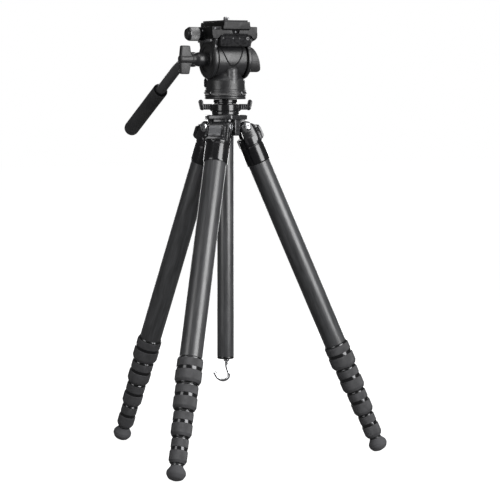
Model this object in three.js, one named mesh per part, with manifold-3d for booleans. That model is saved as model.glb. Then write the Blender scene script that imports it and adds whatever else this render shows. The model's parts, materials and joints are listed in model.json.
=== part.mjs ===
// Five-section carbon tripod, fully collapsed, with a fluid video head, a sliding camera plate
// and a bent pan bar. Units are millimetres, +Z is up and the feet stand on Z = 0.
// The camera faces -Y, the head tilts about an axis along X, and the pan bar runs back along +Y.
import * as THREE from 'three';
import { mergeVertices } from 'three/addons/utils/BufferGeometryUtils.js';
import Module from 'manifold-3d';

const wasm = await Module();
wasm.setup();

// ---------------------------------------------------------------------------
// Driving dimensions
// ---------------------------------------------------------------------------
const FIT = 0.3; // clearance between neighbouring pieces
const ROUND = 16; // sides of a round part
const SMALL_ROUND = 12; // sides of a small round part
const LARGE_ROUND = 24; // sides of a large round part
const MERGE = 1e-4; // distance under which two vertices are one

// Legs. "Along" is a distance down the leg from its hinge pin.
const LEG_NAMES = ['front', 'right', 'rear'];
const FIRST_LEG_AZIMUTH = -134; // degrees from +X
const LEG_SPLAY = 23.5; // degrees from vertical, where the angle tab stops the leg
const LEG_CLOSED = 4.5; // degrees from vertical with the leg folded in against the column
const TUBE_RADII = [16, 14, 12, 10, 8]; // outer radii, main tube first
const LAST_TUBE_WALL = 1.3;
const TUBE_TOP_ALONG = 32;
const TUBE_NEST_STEP = 6; // how much lower each nested tube starts
const FIRST_LOCK_ALONG = 345.2;
const LOCK_PITCH = 38;
const LOCK_SEAT_DEPTH = 16; // how far a tube's end sits in its lock
const LOCK_UPPER_BAND = 2.2; // how far the upper band stands out from the tube
const LOCK_LOWER_BAND = 2.7; // how far the lower band stands out from the tube
const FOOT_RADIUS = 13.5;
const FOOT_LENGTH = 22.3;
const FOOT_NECK = 1.5; // bare neck between the last lock and the foot's shoulder
const FOOT_PLUG = 9; // how far the foot's plug goes into the last tube

// Leg casting and its hinge.
const EAR_RADIUS = 8.7;
const EAR_INNER = 10; // from the leg's centre plane to an ear's inner face
const EAR_THICK = 6.5;
const PIN_RADIUS = 3;
const PIN_HEAD_RADIUS = 6.7;
const PIN_HEAD_THICK = 1.7;
const CASTING_WALL = 0.9; // outside the bore of the main tube
const CASTING_TOP_ALONG = 14.5;
const CASTING_END_ALONG = 55.5;
const TAB_WIDTH = 18.2;
const TAB_HEIGHT = 16;
const TAB_THICK = 3.9;
const TAB_TOP_ALONG = -1;
const TAB_FRAME_WIDTH = 28.6;
const TAB_RAIL_WIDTH = 3.3;
const TAB_RAIL_THICK = 3.2;
const TAB_WALL_TOP_ALONG = 2.5;
const TAB_WALL_END_ALONG = 22;

// Spider and column.
const COLUMN_RADIUS = 12;
const COLUMN_WALL = 1.4;
const COLUMN_BELOW_PIVOT = 334.6;
const SPIDER_WALL = 5.7;
const SPIDER_DEPTH = 12; // below the hinge pins
const HUB_WALL = 7.7; // ring above the flange, outside the column's bore
const FLANGE_BOTTOM = 11; // above the hinge pins
const FLANGE_THICK = 6.5;
const FLANGE_OVER_PIN = 1.7; // how far the flange reaches past the hinge pins
const FLANGE_GAP_REACH = 29.5; // reach of the short facets between the legs
const WEB_THICK = 10;
const WEB_REACH = 26;
const HUB_HEIGHT = 5;
const COLLAR_HEIGHT = 10.4;
const COLLAR_WING_REACH = 38.9;
const COLLAR_WING_RISE = 6;
const COLLAR_WING_HEIGHT = 8.2;
const COLLAR_WING_DEPTH = 10;
const COLLAR_FIN_RADIUS = 2.9;
const TOP_PLATE_RADIUS = 17.5;
const TOP_PLATE_HEIGHT = 6.3;
const STUD_RADIUS = 4.7;
const HOOK_WIRE_RADIUS = 2;
const HOOK_CAP_HEIGHT = 3.2;
// The wire's middle line, as [distance across, drop below the cap].
const HOOK_ROUTE = [[1.2, -1.5], [1.2, 10], [3, 16], [4.7, 21.5], [3.8, 27], [0, 30.6], [-5, 31.2], [-11, 28.2], [-15.2, 21]];

// Head.
const HEAD_BASE_RADIUS = 29.8;
const HEAD_BASE_HEIGHT = 7.2;
const SKIRT_RADIUS = 31;
const SKIRT_HEIGHT = 6.8;
const BODY_RADIUS = 28.3;
const BODY_TOP = 20.6; // above the body's underside
const TILT_ABOVE_BODY = 49.4;
const DRUM_RADIUS = 25.5;
const DRUM_HALF_WIDTH = 22.5;
const AXLE_RADIUS = 6;
const AXLE_LENGTH = 15;
const CHEEK_RADIUS = 28;
const CHEEK_THICK = 5.6;
const CHEEK_ARM_HALF = 27; // half width of a cheek's arm at its top
const ROSETTE_RADIUS = 10;
const ROSETTE_THICK = 1.6;
const PLATFORM_HALF_LENGTH = 33;
const PLATFORM_BOTTOM = 18; // above the tilt axis
const RECEIVER_BOTTOM = 29.5; // above the tilt axis, underside of its feet
const RECEIVER_WEB_BOTTOM = 34.2;
const RECEIVER_FLOOR = 42.6;
const RECEIVER_LEFT_OVERHANG = 7.3; // past the left cheek's outer face
const RECEIVER_RIGHT_OVERHANG = 2.3;
const RECEIVER_FOOT_SETBACK = 1.8; // from a cheek's inner face to its foot's inner face
const RECEIVER_RAIL_RISE = 3.6;
const PLATE_HALF_WIDTH = 22;
const PLATE_TOP_HALF_WIDTH = 20.3;
const PLATE_HALF_LENGTH = 37.5;
const PLATE_HEIGHT = 12.6;
const SCREW_RADIUS = 3.15;
const SCREW_RISE = 5.5; // above the plate
const SCREW_HEAD_RADIUS = 8;
const SCREW_HEAD_HEIGHT = 4;
const STEADY_PIN_RADIUS = 1.4;
const STEADY_PIN_OFFSET = -9;
const STEADY_PIN_RISE = 4.5;
const STEADY_PIN_TRAVEL = 3.5;
const LOCK_KNOB_RADIUS = 10;
const LOCK_KNOB_LENGTH = 18;
const LOCK_KNOB_RISE = 36; // above the tilt axis
const BOSS_RADIUS = 8.5;
const BOSS_LENGTH = 6.7;
const CATCH_RADIUS = 10;
const CATCH_LENGTH = 14.7;
const PAN_KNOB_RADIUS = 6.5;
const PAN_KNOB_THICK = 3.6;
const PAN_KNOB_RISE = 16; // above the body's underside
const PAN_KNOB_AZIMUTH = 153; // degrees from +X
const TILT_KNOB_RADIUS = 19;
const TILT_KNOB_LENGTH = 27;
const KNOB_SHANK_RADIUS = 2.6;
const KNOB_SHANK_LENGTH = 8;

// Pan bar.
const BAR_RADIUS = 7;
const BAR_WALL = 1.4;
const BAR_SOCKET_WALL = 2;
const BAR_SOCKET_START = 8;
const BAR_SOCKET_END = 25;
const BAR_KNEE = 57; // where the straight and the sloping part of the bar would meet
const BAR_BEND = 29.3; // degrees below the horizontal
const BAR_KNEE_ROUND = 26;
const BAR_REACH = 208.6; // from the knee to the end of the grip
const GRIP_RADIUS = 10.8;
const GRIP_LENGTH = 114;
const GRIP_END = 7; // closed end of the grip, past the bar
const WING_KNOB_HEIGHT = 40.5;
const WING_KNOB_LENGTH = 19.5;
const WING_KNOB_THICK = 8;
const WING_HUB_RADIUS = 6;

// ---------------------------------------------------------------------------
// Sizes that follow from the driving dimensions
// ---------------------------------------------------------------------------
const radians = THREE.MathUtils.degToRad;
const spiderCoreRadius = COLUMN_RADIUS + FIT + SPIDER_WALL;
const pivotRadius = spiderCoreRadius + EAR_RADIUS + 2 * FIT;
const castingRadius = bore(TUBE_RADII[0]) + CASTING_WALL;
const tabWallFace = castingRadius + 0.8;
const hubRadius = COLUMN_RADIUS + FIT + HUB_WALL;
const flangeTop = FLANGE_BOTTOM + FLANGE_THICK;
const collarBottom = flangeTop + HUB_HEIGHT + FIT;
const collarTop = collarBottom + COLLAR_HEIGHT;
const topPlateBottom = collarTop + FIT;
const topPlateTop = topPlateBottom + TOP_PLATE_HEIGHT;
const headBaseBottom = topPlateTop + FIT;
const headBaseTop = headBaseBottom + HEAD_BASE_HEIGHT;
const bodyBottom = headBaseTop + FIT;
const tiltHeight = bodyBottom + TILT_ABOVE_BODY;
const cheekInner = DRUM_HALF_WIDTH + 2 * FIT;
const cheekOuter = cheekInner + CHEEK_THICK;
const receiverLeft = -(cheekOuter + RECEIVER_LEFT_OVERHANG);
const receiverRight = cheekOuter + RECEIVER_RIGHT_OVERHANG;
const plateBottom = RECEIVER_FLOOR + FIT;
const plateTop = plateBottom + PLATE_HEIGHT;
const barX = -(cheekOuter + ROSETTE_THICK + FIT + BAR_RADIUS + BAR_SOCKET_WALL + FIT);
const clampOuter = barX - BAR_RADIUS - BAR_SOCKET_WALL;

// ---------------------------------------------------------------------------
// Materials
// ---------------------------------------------------------------------------
function paint(color, roughness, metalness) {
  return new THREE.MeshStandardMaterial({ color, roughness, metalness });
}

const FINISH = {
  carbon: () => paint(0x26282b, 0.35, 0.1),
  castBlack: () => paint(0x141416, 0.28, 0.4),
  satinBlack: () => paint(0x1e1f21, 0.45, 0.2),
  rubber: () => paint(0x242527, 0.85, 0),
  footRubber: () => paint(0x3a3b3d, 0.9, 0),
  chrome: () => paint(0xd8dadd, 0.15, 1),
  greyAlloy: () => paint(0x6a6c70, 0.45, 0.7),
  silverAlloy: () => paint(0x8e9094, 0.4, 0.9),
  knobPlastic: () => paint(0x3b3d40, 0.6, 0),
  foam: () => paint(0x1c1d1e, 0.95, 0),
};

// ---------------------------------------------------------------------------
// Shape helpers
// ---------------------------------------------------------------------------

// Corner radius of a many-sided hole whose flats clear a round piece of this radius.
function bore(radius, sides = ROUND) {
  return (radius + FIT) / Math.cos(Math.PI / sides);
}

// A closed geometry as a solid that can be joined and cut.
function solid(geometry) {
  const bare = geometry.clone();
  bare.deleteAttribute('normal');
  bare.deleteAttribute('uv');
  const merged = mergeVertices(bare, MERGE);
  const triangles = [];
  for (let i = 0; i < merged.index.count; i += 3) {
    const corners = [0, 1, 2].map((k) => merged.index.getX(i + k));
    if (new Set(corners).size === 3) triangles.push(...corners);
  }
  return new wasm.Manifold(new wasm.Mesh({
    numProp: 3,
    vertProperties: new Float32Array(merged.attributes.position.array),
    triVerts: new Uint32Array(triangles),
  }));
}

function join(first, ...others) {
  return others.reduce((sum, other) => sum.add(other), first);
}

function cut(first, ...others) {
  return others.reduce((rest, other) => rest.subtract(other), first);
}

// A named mesh made from a solid.
function piece(name, body, material) {
  const mesh = body.getMesh();
  const geometry = new THREE.BufferGeometry();
  const positions = new Float32Array(mesh.vertProperties);
  geometry.setAttribute('position', new THREE.BufferAttribute(positions, 3));
  geometry.setIndex(new THREE.BufferAttribute(new Uint32Array(mesh.triVerts), 1));
  geometry.computeVertexNormals();
  const part = new THREE.Mesh(geometry, material);
  part.name = name;
  return part;
}

// A turned solid about the Z axis, from [radius, height] points that run up the outside.
function turned(points, sides = ROUND) {
  const profile = points.map(([radius, height]) => new THREE.Vector2(radius, height));
  return solid(new THREE.LatheGeometry(profile, sides).rotateX(Math.PI / 2));
}

// A turned ring: the outside points run upwards and the inside points come back down.
function turnedRing(points, sides = ROUND) {
  return turned([...points, points[0]], sides);
}

// A solid rod about the Z axis between two heights.
function rod(radius, bottom, top, sides = ROUND) {
  return turned([[0, bottom], [radius, bottom], [radius, top], [0, top]], sides);
}

// A tube about the Z axis between two heights.
function pipe(inner, outer, bottom, top, sides = ROUND) {
  return turnedRing([[inner, bottom], [outer, bottom], [outer, top], [inner, top]], sides);
}

// A block between two opposite corners.
function block(low, high) {
  const size = low.map((value, k) => high[k] - value);
  const middle = low.map((value, k) => (high[k] + value) / 2);
  return solid(new THREE.BoxGeometry(...size).translate(...middle));
}

function outline(points) {
  return new THREE.Shape(points.map(([x, y]) => new THREE.Vector2(x, y)));
}

// An outline of [x, z] points as a slab between two Y values.
function slabAlongY(shape, from, to, curveSegments = SMALL_ROUND) {
  const options = { depth: to - from, bevelEnabled: false, curveSegments };
  const geometry = new THREE.ExtrudeGeometry(shape, options);
  return solid(geometry.rotateX(Math.PI / 2).translate(0, to, 0));
}

// An outline of [y, z] points as a slab between two X values.
function slabAlongX(shape, from, to, curveSegments = SMALL_ROUND) {
  const options = { depth: to - from, bevelEnabled: false, curveSegments };
  const geometry = new THREE.ExtrudeGeometry(shape, options);
  geometry.rotateX(Math.PI / 2).rotateZ(Math.PI / 2);
  return solid(geometry.translate(from, 0, 0));
}

// An outline of [x, y] points as a slab between two heights.
function slabUp(shape, from, to) {
  const options = { depth: to - from, bevelEnabled: false, curveSegments: SMALL_ROUND };
  return solid(new THREE.ExtrudeGeometry(shape, options).translate(0, 0, from));
}

// Turns a solid made about Z so that its axis lies along +X, +Y or -X.
function alongX(body) {
  return body.rotate([0, 90, 0]);
}

function alongY(body) {
  return body.rotate([-90, 0, 0]);
}

function alongMinusX(body) {
  return body.rotate([0, -90, 0]);
}

// ---------------------------------------------------------------------------
// Legs. In a leg's own frame the hinge pin lies along Y through the origin, the leg hangs
// down along -Z and +X points away from the column.
// ---------------------------------------------------------------------------
function legCasting() {
  const socket = turned([
    [0, -CASTING_END_ALONG],
    [castingRadius - 0.6, -CASTING_END_ALONG],
    [castingRadius, -CASTING_END_ALONG + 1.6],
    [castingRadius, -CASTING_TOP_ALONG],
    [0, -CASTING_TOP_ALONG],
  ]);
  const earShape = new THREE.Shape();
  earShape.absarc(0, 0, EAR_RADIUS, 0, Math.PI, false);
  earShape.lineTo(-EAR_RADIUS - 2, -TAB_WALL_END_ALONG);
  earShape.lineTo(EAR_RADIUS + 2, -TAB_WALL_END_ALONG);
  earShape.closePath();
  const earOuter = EAR_INNER + EAR_THICK;
  const ears = [slabAlongY(earShape, EAR_INNER, earOuter), slabAlongY(earShape, -earOuter, -EAR_INNER)];
  const half = TAB_FRAME_WIDTH / 2;
  const wallInner = EAR_RADIUS + 1.1;
  const wall = block(
    [wallInner, -half, -TAB_WALL_END_ALONG],
    [tabWallFace, half, -TAB_WALL_TOP_ALONG],
  );
  const rails = [-1, 1].map((side) => {
    const inner = side * (half - TAB_RAIL_WIDTH);
    const outer = side * half;
    return block(
      [tabWallFace - 1, Math.min(inner, outer), -TAB_WALL_END_ALONG + 2],
      [tabWallFace + TAB_RAIL_THICK, Math.max(inner, outer), -TAB_WALL_TOP_ALONG],
    );
  });
  const pinBore = alongY(rod(bore(PIN_RADIUS, SMALL_ROUND), -earOuter - 1, earOuter + 1, SMALL_ROUND));
  const tubeBore = rod(bore(TUBE_RADII[0]), -CASTING_END_ALONG - 1, -TUBE_TOP_ALONG + FIT);
  const columnRelief = rod(bore(COLUMN_RADIUS), -CASTING_END_ALONG, CASTING_TOP_ALONG)
    .translate([-pivotRadius, 0, 0])
    .rotate([0, LEG_CLOSED, 0]);
  return cut(join(socket, ...ears, wall, ...rails), pinBore, tubeBore, columnRelief);
}

function hingePin() {
  const neck = EAR_INNER + EAR_THICK + FIT;
  const end = neck + PIN_HEAD_THICK;
  const rim = PIN_HEAD_RADIUS - 0.8;
  return alongY(turned([
    [0, -end],
    [rim, -end],
    [PIN_HEAD_RADIUS, -end + 0.8],
    [PIN_HEAD_RADIUS, -neck],
    [PIN_RADIUS, -neck],
    [PIN_RADIUS, neck],
    [PIN_HEAD_RADIUS, neck],
    [PIN_HEAD_RADIUS, end - 0.8],
    [rim, end],
    [0, end],
  ], SMALL_ROUND));
}

function angleTab() {
  const face = tabWallFace + FIT + 0.1;
  const half = TAB_WIDTH / 2;
  const top = -TAB_TOP_ALONG;
  const bottom = top - TAB_HEIGHT;
  const plate = slabAlongY(outline([
    [face, bottom],
    [face + TAB_THICK + 1, bottom],
    [face + TAB_THICK + 1, bottom + 1.8],
    [face + TAB_THICK, bottom + 3],
    [face + TAB_THICK, top - 1],
    [face + TAB_THICK - 1, top],
    [face, top],
  ]), -half, half);
  return plate;
}

// Nested tube number n, from 0 for the main one. Each tube's bore clears the next tube.
function legTube(n) {
  const outer = TUBE_RADII[n];
  const last = n === TUBE_RADII.length - 1;
  const inner = last ? outer - LAST_TUBE_WALL : bore(TUBE_RADII[n + 1]);
  const top = -(TUBE_TOP_ALONG + n * TUBE_NEST_STEP);
  const seat = last ? FOOT_NECK : LOCK_SEAT_DEPTH;
  const bottom = -(FIRST_LOCK_ALONG + n * LOCK_PITCH + seat) + FIT;
  return pipe(inner, outer, bottom, top);
}

// Twist lock at the end of tube n, with two grip bands and a smooth groove between them.
function twistLock(n) {
  const tube = TUBE_RADII[n];
  const next = TUBE_RADII[n + 1];
  const top = -(FIRST_LOCK_ALONG + n * LOCK_PITCH);
  const length = LOCK_PITCH - 2 * FIT;
  const upper = tube + LOCK_UPPER_BAND;
  const lower = tube + LOCK_LOWER_BAND;
  const groove = tube + 1.2;
  const neck = bore(next) + 1.1;
  return turnedRing([
    [bore(next), top - length],
    [neck, top - length],
    [neck, top - length * 0.96],
    [lower, top - length * 0.87],
    [lower, top - length * 0.52],
    [groove, top - length * 0.5],
    [groove, top - length * 0.4],
    [upper, top - length * 0.38],
    [upper, top - length * 0.07],
    [bore(tube) + 0.5, top],
    [bore(tube), top],
    [bore(tube), top - LOCK_SEAT_DEPTH],
    [bore(next), top - LOCK_SEAT_DEPTH],
  ]);
}

function rubberFoot() {
  const tube = TUBE_RADII[TUBE_RADII.length - 1];
  const top = -(FIRST_LOCK_ALONG + (TUBE_RADII.length - 1) * LOCK_PITCH);
  const end = top - FOOT_LENGTH;
  const neck = tube + 0.6;
  const plug = (tube - LAST_TUBE_WALL) * Math.cos(Math.PI / ROUND) - FIT;
  const neckTop = top - FOOT_NECK;
  return turned([
    [0, end],
    [FOOT_RADIUS * 0.3, end + 0.5],
    [FOOT_RADIUS * 0.76, end + 2.6],
    [FOOT_RADIUS, end + 8.4],
    [FOOT_RADIUS, end + 13.2],
    [neck, neckTop - 1.6],
    [neck, neckTop],
    [plug, neckTop],
    [plug, neckTop + FOOT_PLUG],
    [0, neckTop + FOOT_PLUG],
  ]);
}

function leg(name, azimuth) {
  const hanging = new THREE.Group();
  hanging.add(piece(`leg_${name}_casting`, legCasting(), FINISH.castBlack()));
  hanging.add(piece(`leg_${name}_angle_tab`, angleTab(), FINISH.greyAlloy()));
  TUBE_RADII.forEach((radius, n) => {
    hanging.add(piece(`leg_${name}_tube_${n + 1}`, legTube(n), FINISH.carbon()));
  });
  for (let n = 0; n < TUBE_RADII.length - 1; n += 1) {
    hanging.add(piece(`leg_${name}_lock_${n + 1}`, twistLock(n), FINISH.rubber()));
  }
  hanging.add(piece(`leg_${name}_foot`, rubberFoot(), FINISH.footRubber()));
  hanging.rotation.y = -radians(LEG_SPLAY);
  const hinge = new THREE.Group();
  hinge.add(hanging);
  hinge.add(piece(`leg_${name}_hinge_pin`, hingePin(), FINISH.chrome()));
  hinge.position.x = pivotRadius;
  const turn = new THREE.Group();
  turn.add(hinge);
  turn.rotation.z = radians(azimuth);
  return turn;
}

// ---------------------------------------------------------------------------
// Spider and column, about Z with the hinge pins at height 0
// ---------------------------------------------------------------------------
function legAzimuth(k) {
  return FIRST_LEG_AZIMUTH + (360 / LEG_NAMES.length) * k;
}

// Six-sided flange with a long facet over each leg and a facet over each gap.
function flangeOutline() {
  const overLeg = pivotRadius + FLANGE_OVER_PIN;
  const share = (FLANGE_GAP_REACH - overLeg / 2) / Math.sin(Math.PI / 3);
  const points = [];
  for (let k = 0; k < LEG_NAMES.length; k += 1) {
    const turn = radians(legAzimuth(k));
    [-share, share].forEach((side) => {
      points.push([
        overLeg * Math.cos(turn) - side * Math.sin(turn),
        overLeg * Math.sin(turn) + side * Math.cos(turn),
      ]);
    });
  }
  return outline(points);
}

function spider() {
  const core = rod(spiderCoreRadius, -SPIDER_DEPTH, flangeTop);
  const hub = rod(hubRadius, flangeTop - 1, flangeTop + HUB_HEIGHT);
  const flange = slabUp(flangeOutline(), FLANGE_BOTTOM, flangeTop);
  const lugHalf = EAR_INNER - FIT - 0.1;
  const lugRadius = EAR_RADIUS - 0.2;
  const lugs = [];
  const bores = [];
  const webs = [];
  for (let k = 0; k < LEG_NAMES.length; k += 1) {
    const knuckle = alongY(rod(lugRadius, -lugHalf, lugHalf)).translate([pivotRadius, 0, 0]);
    const root = block(
      [spiderCoreRadius - 6, -lugHalf, -lugRadius],
      [pivotRadius, lugHalf, FLANGE_BOTTOM + 1],
    );
    const pinHole = alongY(rod(bore(PIN_RADIUS, SMALL_ROUND), -lugHalf - 1, lugHalf + 1, SMALL_ROUND));
    const turn = [0, 0, legAzimuth(k)];
    lugs.push(join(knuckle, root).rotate(turn));
    bores.push(pinHole.translate([pivotRadius, 0, 0]).rotate(turn));
    const web = block(
      [COLUMN_RADIUS + 2, -WEB_THICK / 2, -SPIDER_DEPTH],
      [WEB_REACH, WEB_THICK / 2, FLANGE_BOTTOM + 1],
    );
    webs.push(web.rotate([0, 0, legAzimuth(k) + 60]));
  }
  const columnBore = rod(bore(COLUMN_RADIUS), -SPIDER_DEPTH - 1, flangeTop + HUB_HEIGHT + 1);
  return cut(join(core, hub, flange, ...lugs, ...webs), columnBore, ...bores);
}

// Direction across the front view in which the collar's wings and the hook spread.
const WING_AZIMUTH = -27;

function collar() {
  const ring = rod(hubRadius, collarBottom, collarTop);
  const finBottom = collarTop - COLLAR_WING_HEIGHT + COLLAR_FIN_RADIUS;
  const finTop = collarTop + COLLAR_WING_RISE - COLLAR_FIN_RADIUS;
  const halfDepth = COLLAR_WING_DEPTH / 2;
  const tip = COLLAR_WING_REACH - COLLAR_FIN_RADIUS;
  const lean = 2.2;
  const fin = new THREE.Shape();
  fin.absarc(tip, finTop, COLLAR_FIN_RADIUS, 0, Math.PI, false);
  fin.absarc(tip - lean, finBottom, COLLAR_FIN_RADIUS, Math.PI, 2 * Math.PI, false);
  fin.closePath();
  const wing = join(
    block(
      [COLUMN_RADIUS + 4, -halfDepth + 1, collarTop - COLLAR_WING_HEIGHT],
      [tip, halfDepth - 1, collarTop],
    ),
    slabAlongY(fin, -halfDepth, halfDepth, 6),
  );
  const wings = join(wing, wing.rotate([0, 0, 180])).rotate([0, 0, WING_AZIMUTH]);
  return cut(join(ring, wings), rod(bore(COLUMN_RADIUS), collarBottom - 1, collarTop + COLLAR_WING_RISE));
}

function columnTube() {
  const bottom = -COLUMN_BELOW_PIVOT + HOOK_CAP_HEIGHT + FIT;
  return pipe(COLUMN_RADIUS - COLUMN_WALL, COLUMN_RADIUS, bottom, collarTop);
}

function topPlate() {
  const spigot = (COLUMN_RADIUS - COLUMN_WALL) * Math.cos(Math.PI / ROUND) - FIT;
  return turned([
    [0, collarTop - 14],
    [spigot, collarTop - 14],
    [spigot, topPlateBottom],
    [TOP_PLATE_RADIUS, topPlateBottom],
    [TOP_PLATE_RADIUS, topPlateTop],
    [STUD_RADIUS, topPlateTop],
    [STUD_RADIUS, headBaseTop - 2],
    [0, headBaseTop - 2],
  ]);
}

// End cap with a bent wire hook under it, for a weight bag.
function hook() {
  const bottom = -COLUMN_BELOW_PIVOT;
  const spigot = (COLUMN_RADIUS - COLUMN_WALL) * Math.cos(Math.PI / ROUND) - FIT;
  const cap = turned([
    [0, bottom - 0.8],
    [4, bottom - 0.8],
    [4.6, bottom],
    [COLUMN_RADIUS - 0.8, bottom],
    [COLUMN_RADIUS, bottom + 0.8],
    [COLUMN_RADIUS, bottom + HOOK_CAP_HEIGHT],
    [spigot, bottom + HOOK_CAP_HEIGHT],
    [spigot, bottom + HOOK_CAP_HEIGHT + 10],
    [0, bottom + HOOK_CAP_HEIGHT + 10],
  ]);
  const route = new THREE.CatmullRomCurve3(
    HOOK_ROUTE.map(([across, drop]) => new THREE.Vector3(across, 0, bottom - drop)),
  );
  const wire = new THREE.Shape().absarc(0, 0, HOOK_WIRE_RADIUS, 0, 2 * Math.PI, false);
  const options = { steps: 18, bevelEnabled: false, extrudePath: route, curveSegments: 4 };
  const bent = solid(new THREE.ExtrudeGeometry(wire, options));
  return join(cap, bent).rotate([0, 0, WING_AZIMUTH]);
}

// ---------------------------------------------------------------------------
// Head, about Z. Pieces above the tilt axis are given in heights above that axis.
// ---------------------------------------------------------------------------
function headBase() {
  const middle = (headBaseBottom + headBaseTop) / 2;
  return turnedRing([
    [bore(STUD_RADIUS), headBaseBottom],
    [HEAD_BASE_RADIUS - 0.8, headBaseBottom],
    [HEAD_BASE_RADIUS, headBaseBottom + 0.8],
    [HEAD_BASE_RADIUS, middle - 0.4],
    [HEAD_BASE_RADIUS - 1, middle],
    [HEAD_BASE_RADIUS, middle + 0.4],
    [HEAD_BASE_RADIUS, headBaseTop],
    [bore(STUD_RADIUS), headBaseTop],
  ], LARGE_ROUND);
}

const panKnobHeight = bodyBottom + PAN_KNOB_RISE;

function headBody() {
  const skirt = turned([
    [0, bodyBottom],
    [SKIRT_RADIUS, bodyBottom],
    [SKIRT_RADIUS, bodyBottom + 1],
    [BODY_RADIUS + 0.8, bodyBottom + SKIRT_HEIGHT],
    [BODY_RADIUS, bodyBottom + SKIRT_HEIGHT + 2],
    [BODY_RADIUS, bodyBottom + BODY_TOP],
    [0, bodyBottom + BODY_TOP],
  ], LARGE_ROUND);
  const stem = block(
    [-DRUM_HALF_WIDTH, -DRUM_RADIUS + 2, bodyBottom + BODY_TOP - 1],
    [DRUM_HALF_WIDTH, DRUM_RADIUS - 2, tiltHeight],
  ).intersect(rod(BODY_RADIUS, bodyBottom, tiltHeight + 1, LARGE_ROUND));
  const drum = alongX(rod(DRUM_RADIUS, -DRUM_HALF_WIDTH, DRUM_HALF_WIDTH, LARGE_ROUND)).translate([0, 0, tiltHeight]);
  const axleBore = alongX(rod(bore(AXLE_RADIUS), -DRUM_HALF_WIDTH - 1, DRUM_HALF_WIDTH + 1));
  const knobBore = alongX(rod(bore(KNOB_SHANK_RADIUS, SMALL_ROUND), BODY_RADIUS - 10, BODY_RADIUS + 4, SMALL_ROUND))
    .rotate([0, 0, PAN_KNOB_AZIMUTH])
    .translate([0, 0, panKnobHeight]);
  return cut(join(skirt, stem, drum), axleBore.translate([0, 0, tiltHeight]), knobBore);
}

function panLockKnob() {
  const inner = BODY_RADIUS + FIT + 0.2;
  return alongX(turned([
    [0, BODY_RADIUS - KNOB_SHANK_LENGTH],
    [KNOB_SHANK_RADIUS, BODY_RADIUS - KNOB_SHANK_LENGTH],
    [KNOB_SHANK_RADIUS, inner],
    [PAN_KNOB_RADIUS, inner],
    [PAN_KNOB_RADIUS, inner + PAN_KNOB_THICK - 1],
    [PAN_KNOB_RADIUS - 1, inner + PAN_KNOB_THICK],
    [0, inner + PAN_KNOB_THICK],
  ], 16)).rotate([0, 0, PAN_KNOB_AZIMUTH]).translate([0, 0, panKnobHeight]);
}

// Side cheek with its half axle, an arm up to the plate receiver and, on one side, a rosette.
function cheek(side, withRosette) {
  const bossEnd = withRosette ? cheekOuter + ROSETTE_THICK : cheekOuter;
  const disc = turned([
    [0, cheekInner - AXLE_LENGTH],
    [AXLE_RADIUS, cheekInner - AXLE_LENGTH],
    [AXLE_RADIUS, cheekInner],
    [CHEEK_RADIUS, cheekInner],
    [CHEEK_RADIUS, cheekOuter - 1.6],
    [CHEEK_RADIUS - 1.6, cheekOuter],
    [ROSETTE_RADIUS, cheekOuter],
    [ROSETTE_RADIUS, bossEnd],
    [0, bossEnd],
  ], LARGE_ROUND);
  const turnedDisc = side > 0 ? alongX(disc) : alongMinusX(disc);
  const armTop = RECEIVER_BOTTOM - FIT;
  const arm = slabAlongX(outline([
    [-CHEEK_RADIUS + 4, 4],
    [CHEEK_RADIUS - 4, 4],
    [CHEEK_ARM_HALF, armTop],
    [-CHEEK_ARM_HALF, armTop],
  ]), Math.min(side * cheekInner, side * (cheekOuter - 1)), Math.max(side * cheekInner, side * (cheekOuter - 1)));
  return join(turnedDisc, arm);
}

// Block between the cheeks, hollowed under its middle so that it clears the drum.
function platform() {
  const top = RECEIVER_WEB_BOTTOM - FIT;
  const half = cheekInner - FIT;
  const body = block(
    [-half, -PLATFORM_HALF_LENGTH, PLATFORM_BOTTOM],
    [half, PLATFORM_HALF_LENGTH, top],
  );
  return cut(body, alongX(rod(DRUM_RADIUS + 2, -half - 1, half + 1, LARGE_ROUND)));
}

// Half width of the camera plate's dovetail at a height above its underside.
function plateHalfWidth(rise) {
  return PLATE_HALF_WIDTH - (PLATE_HALF_WIDTH - PLATE_TOP_HALF_WIDTH) * (rise / PLATE_HEIGHT);
}

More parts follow.
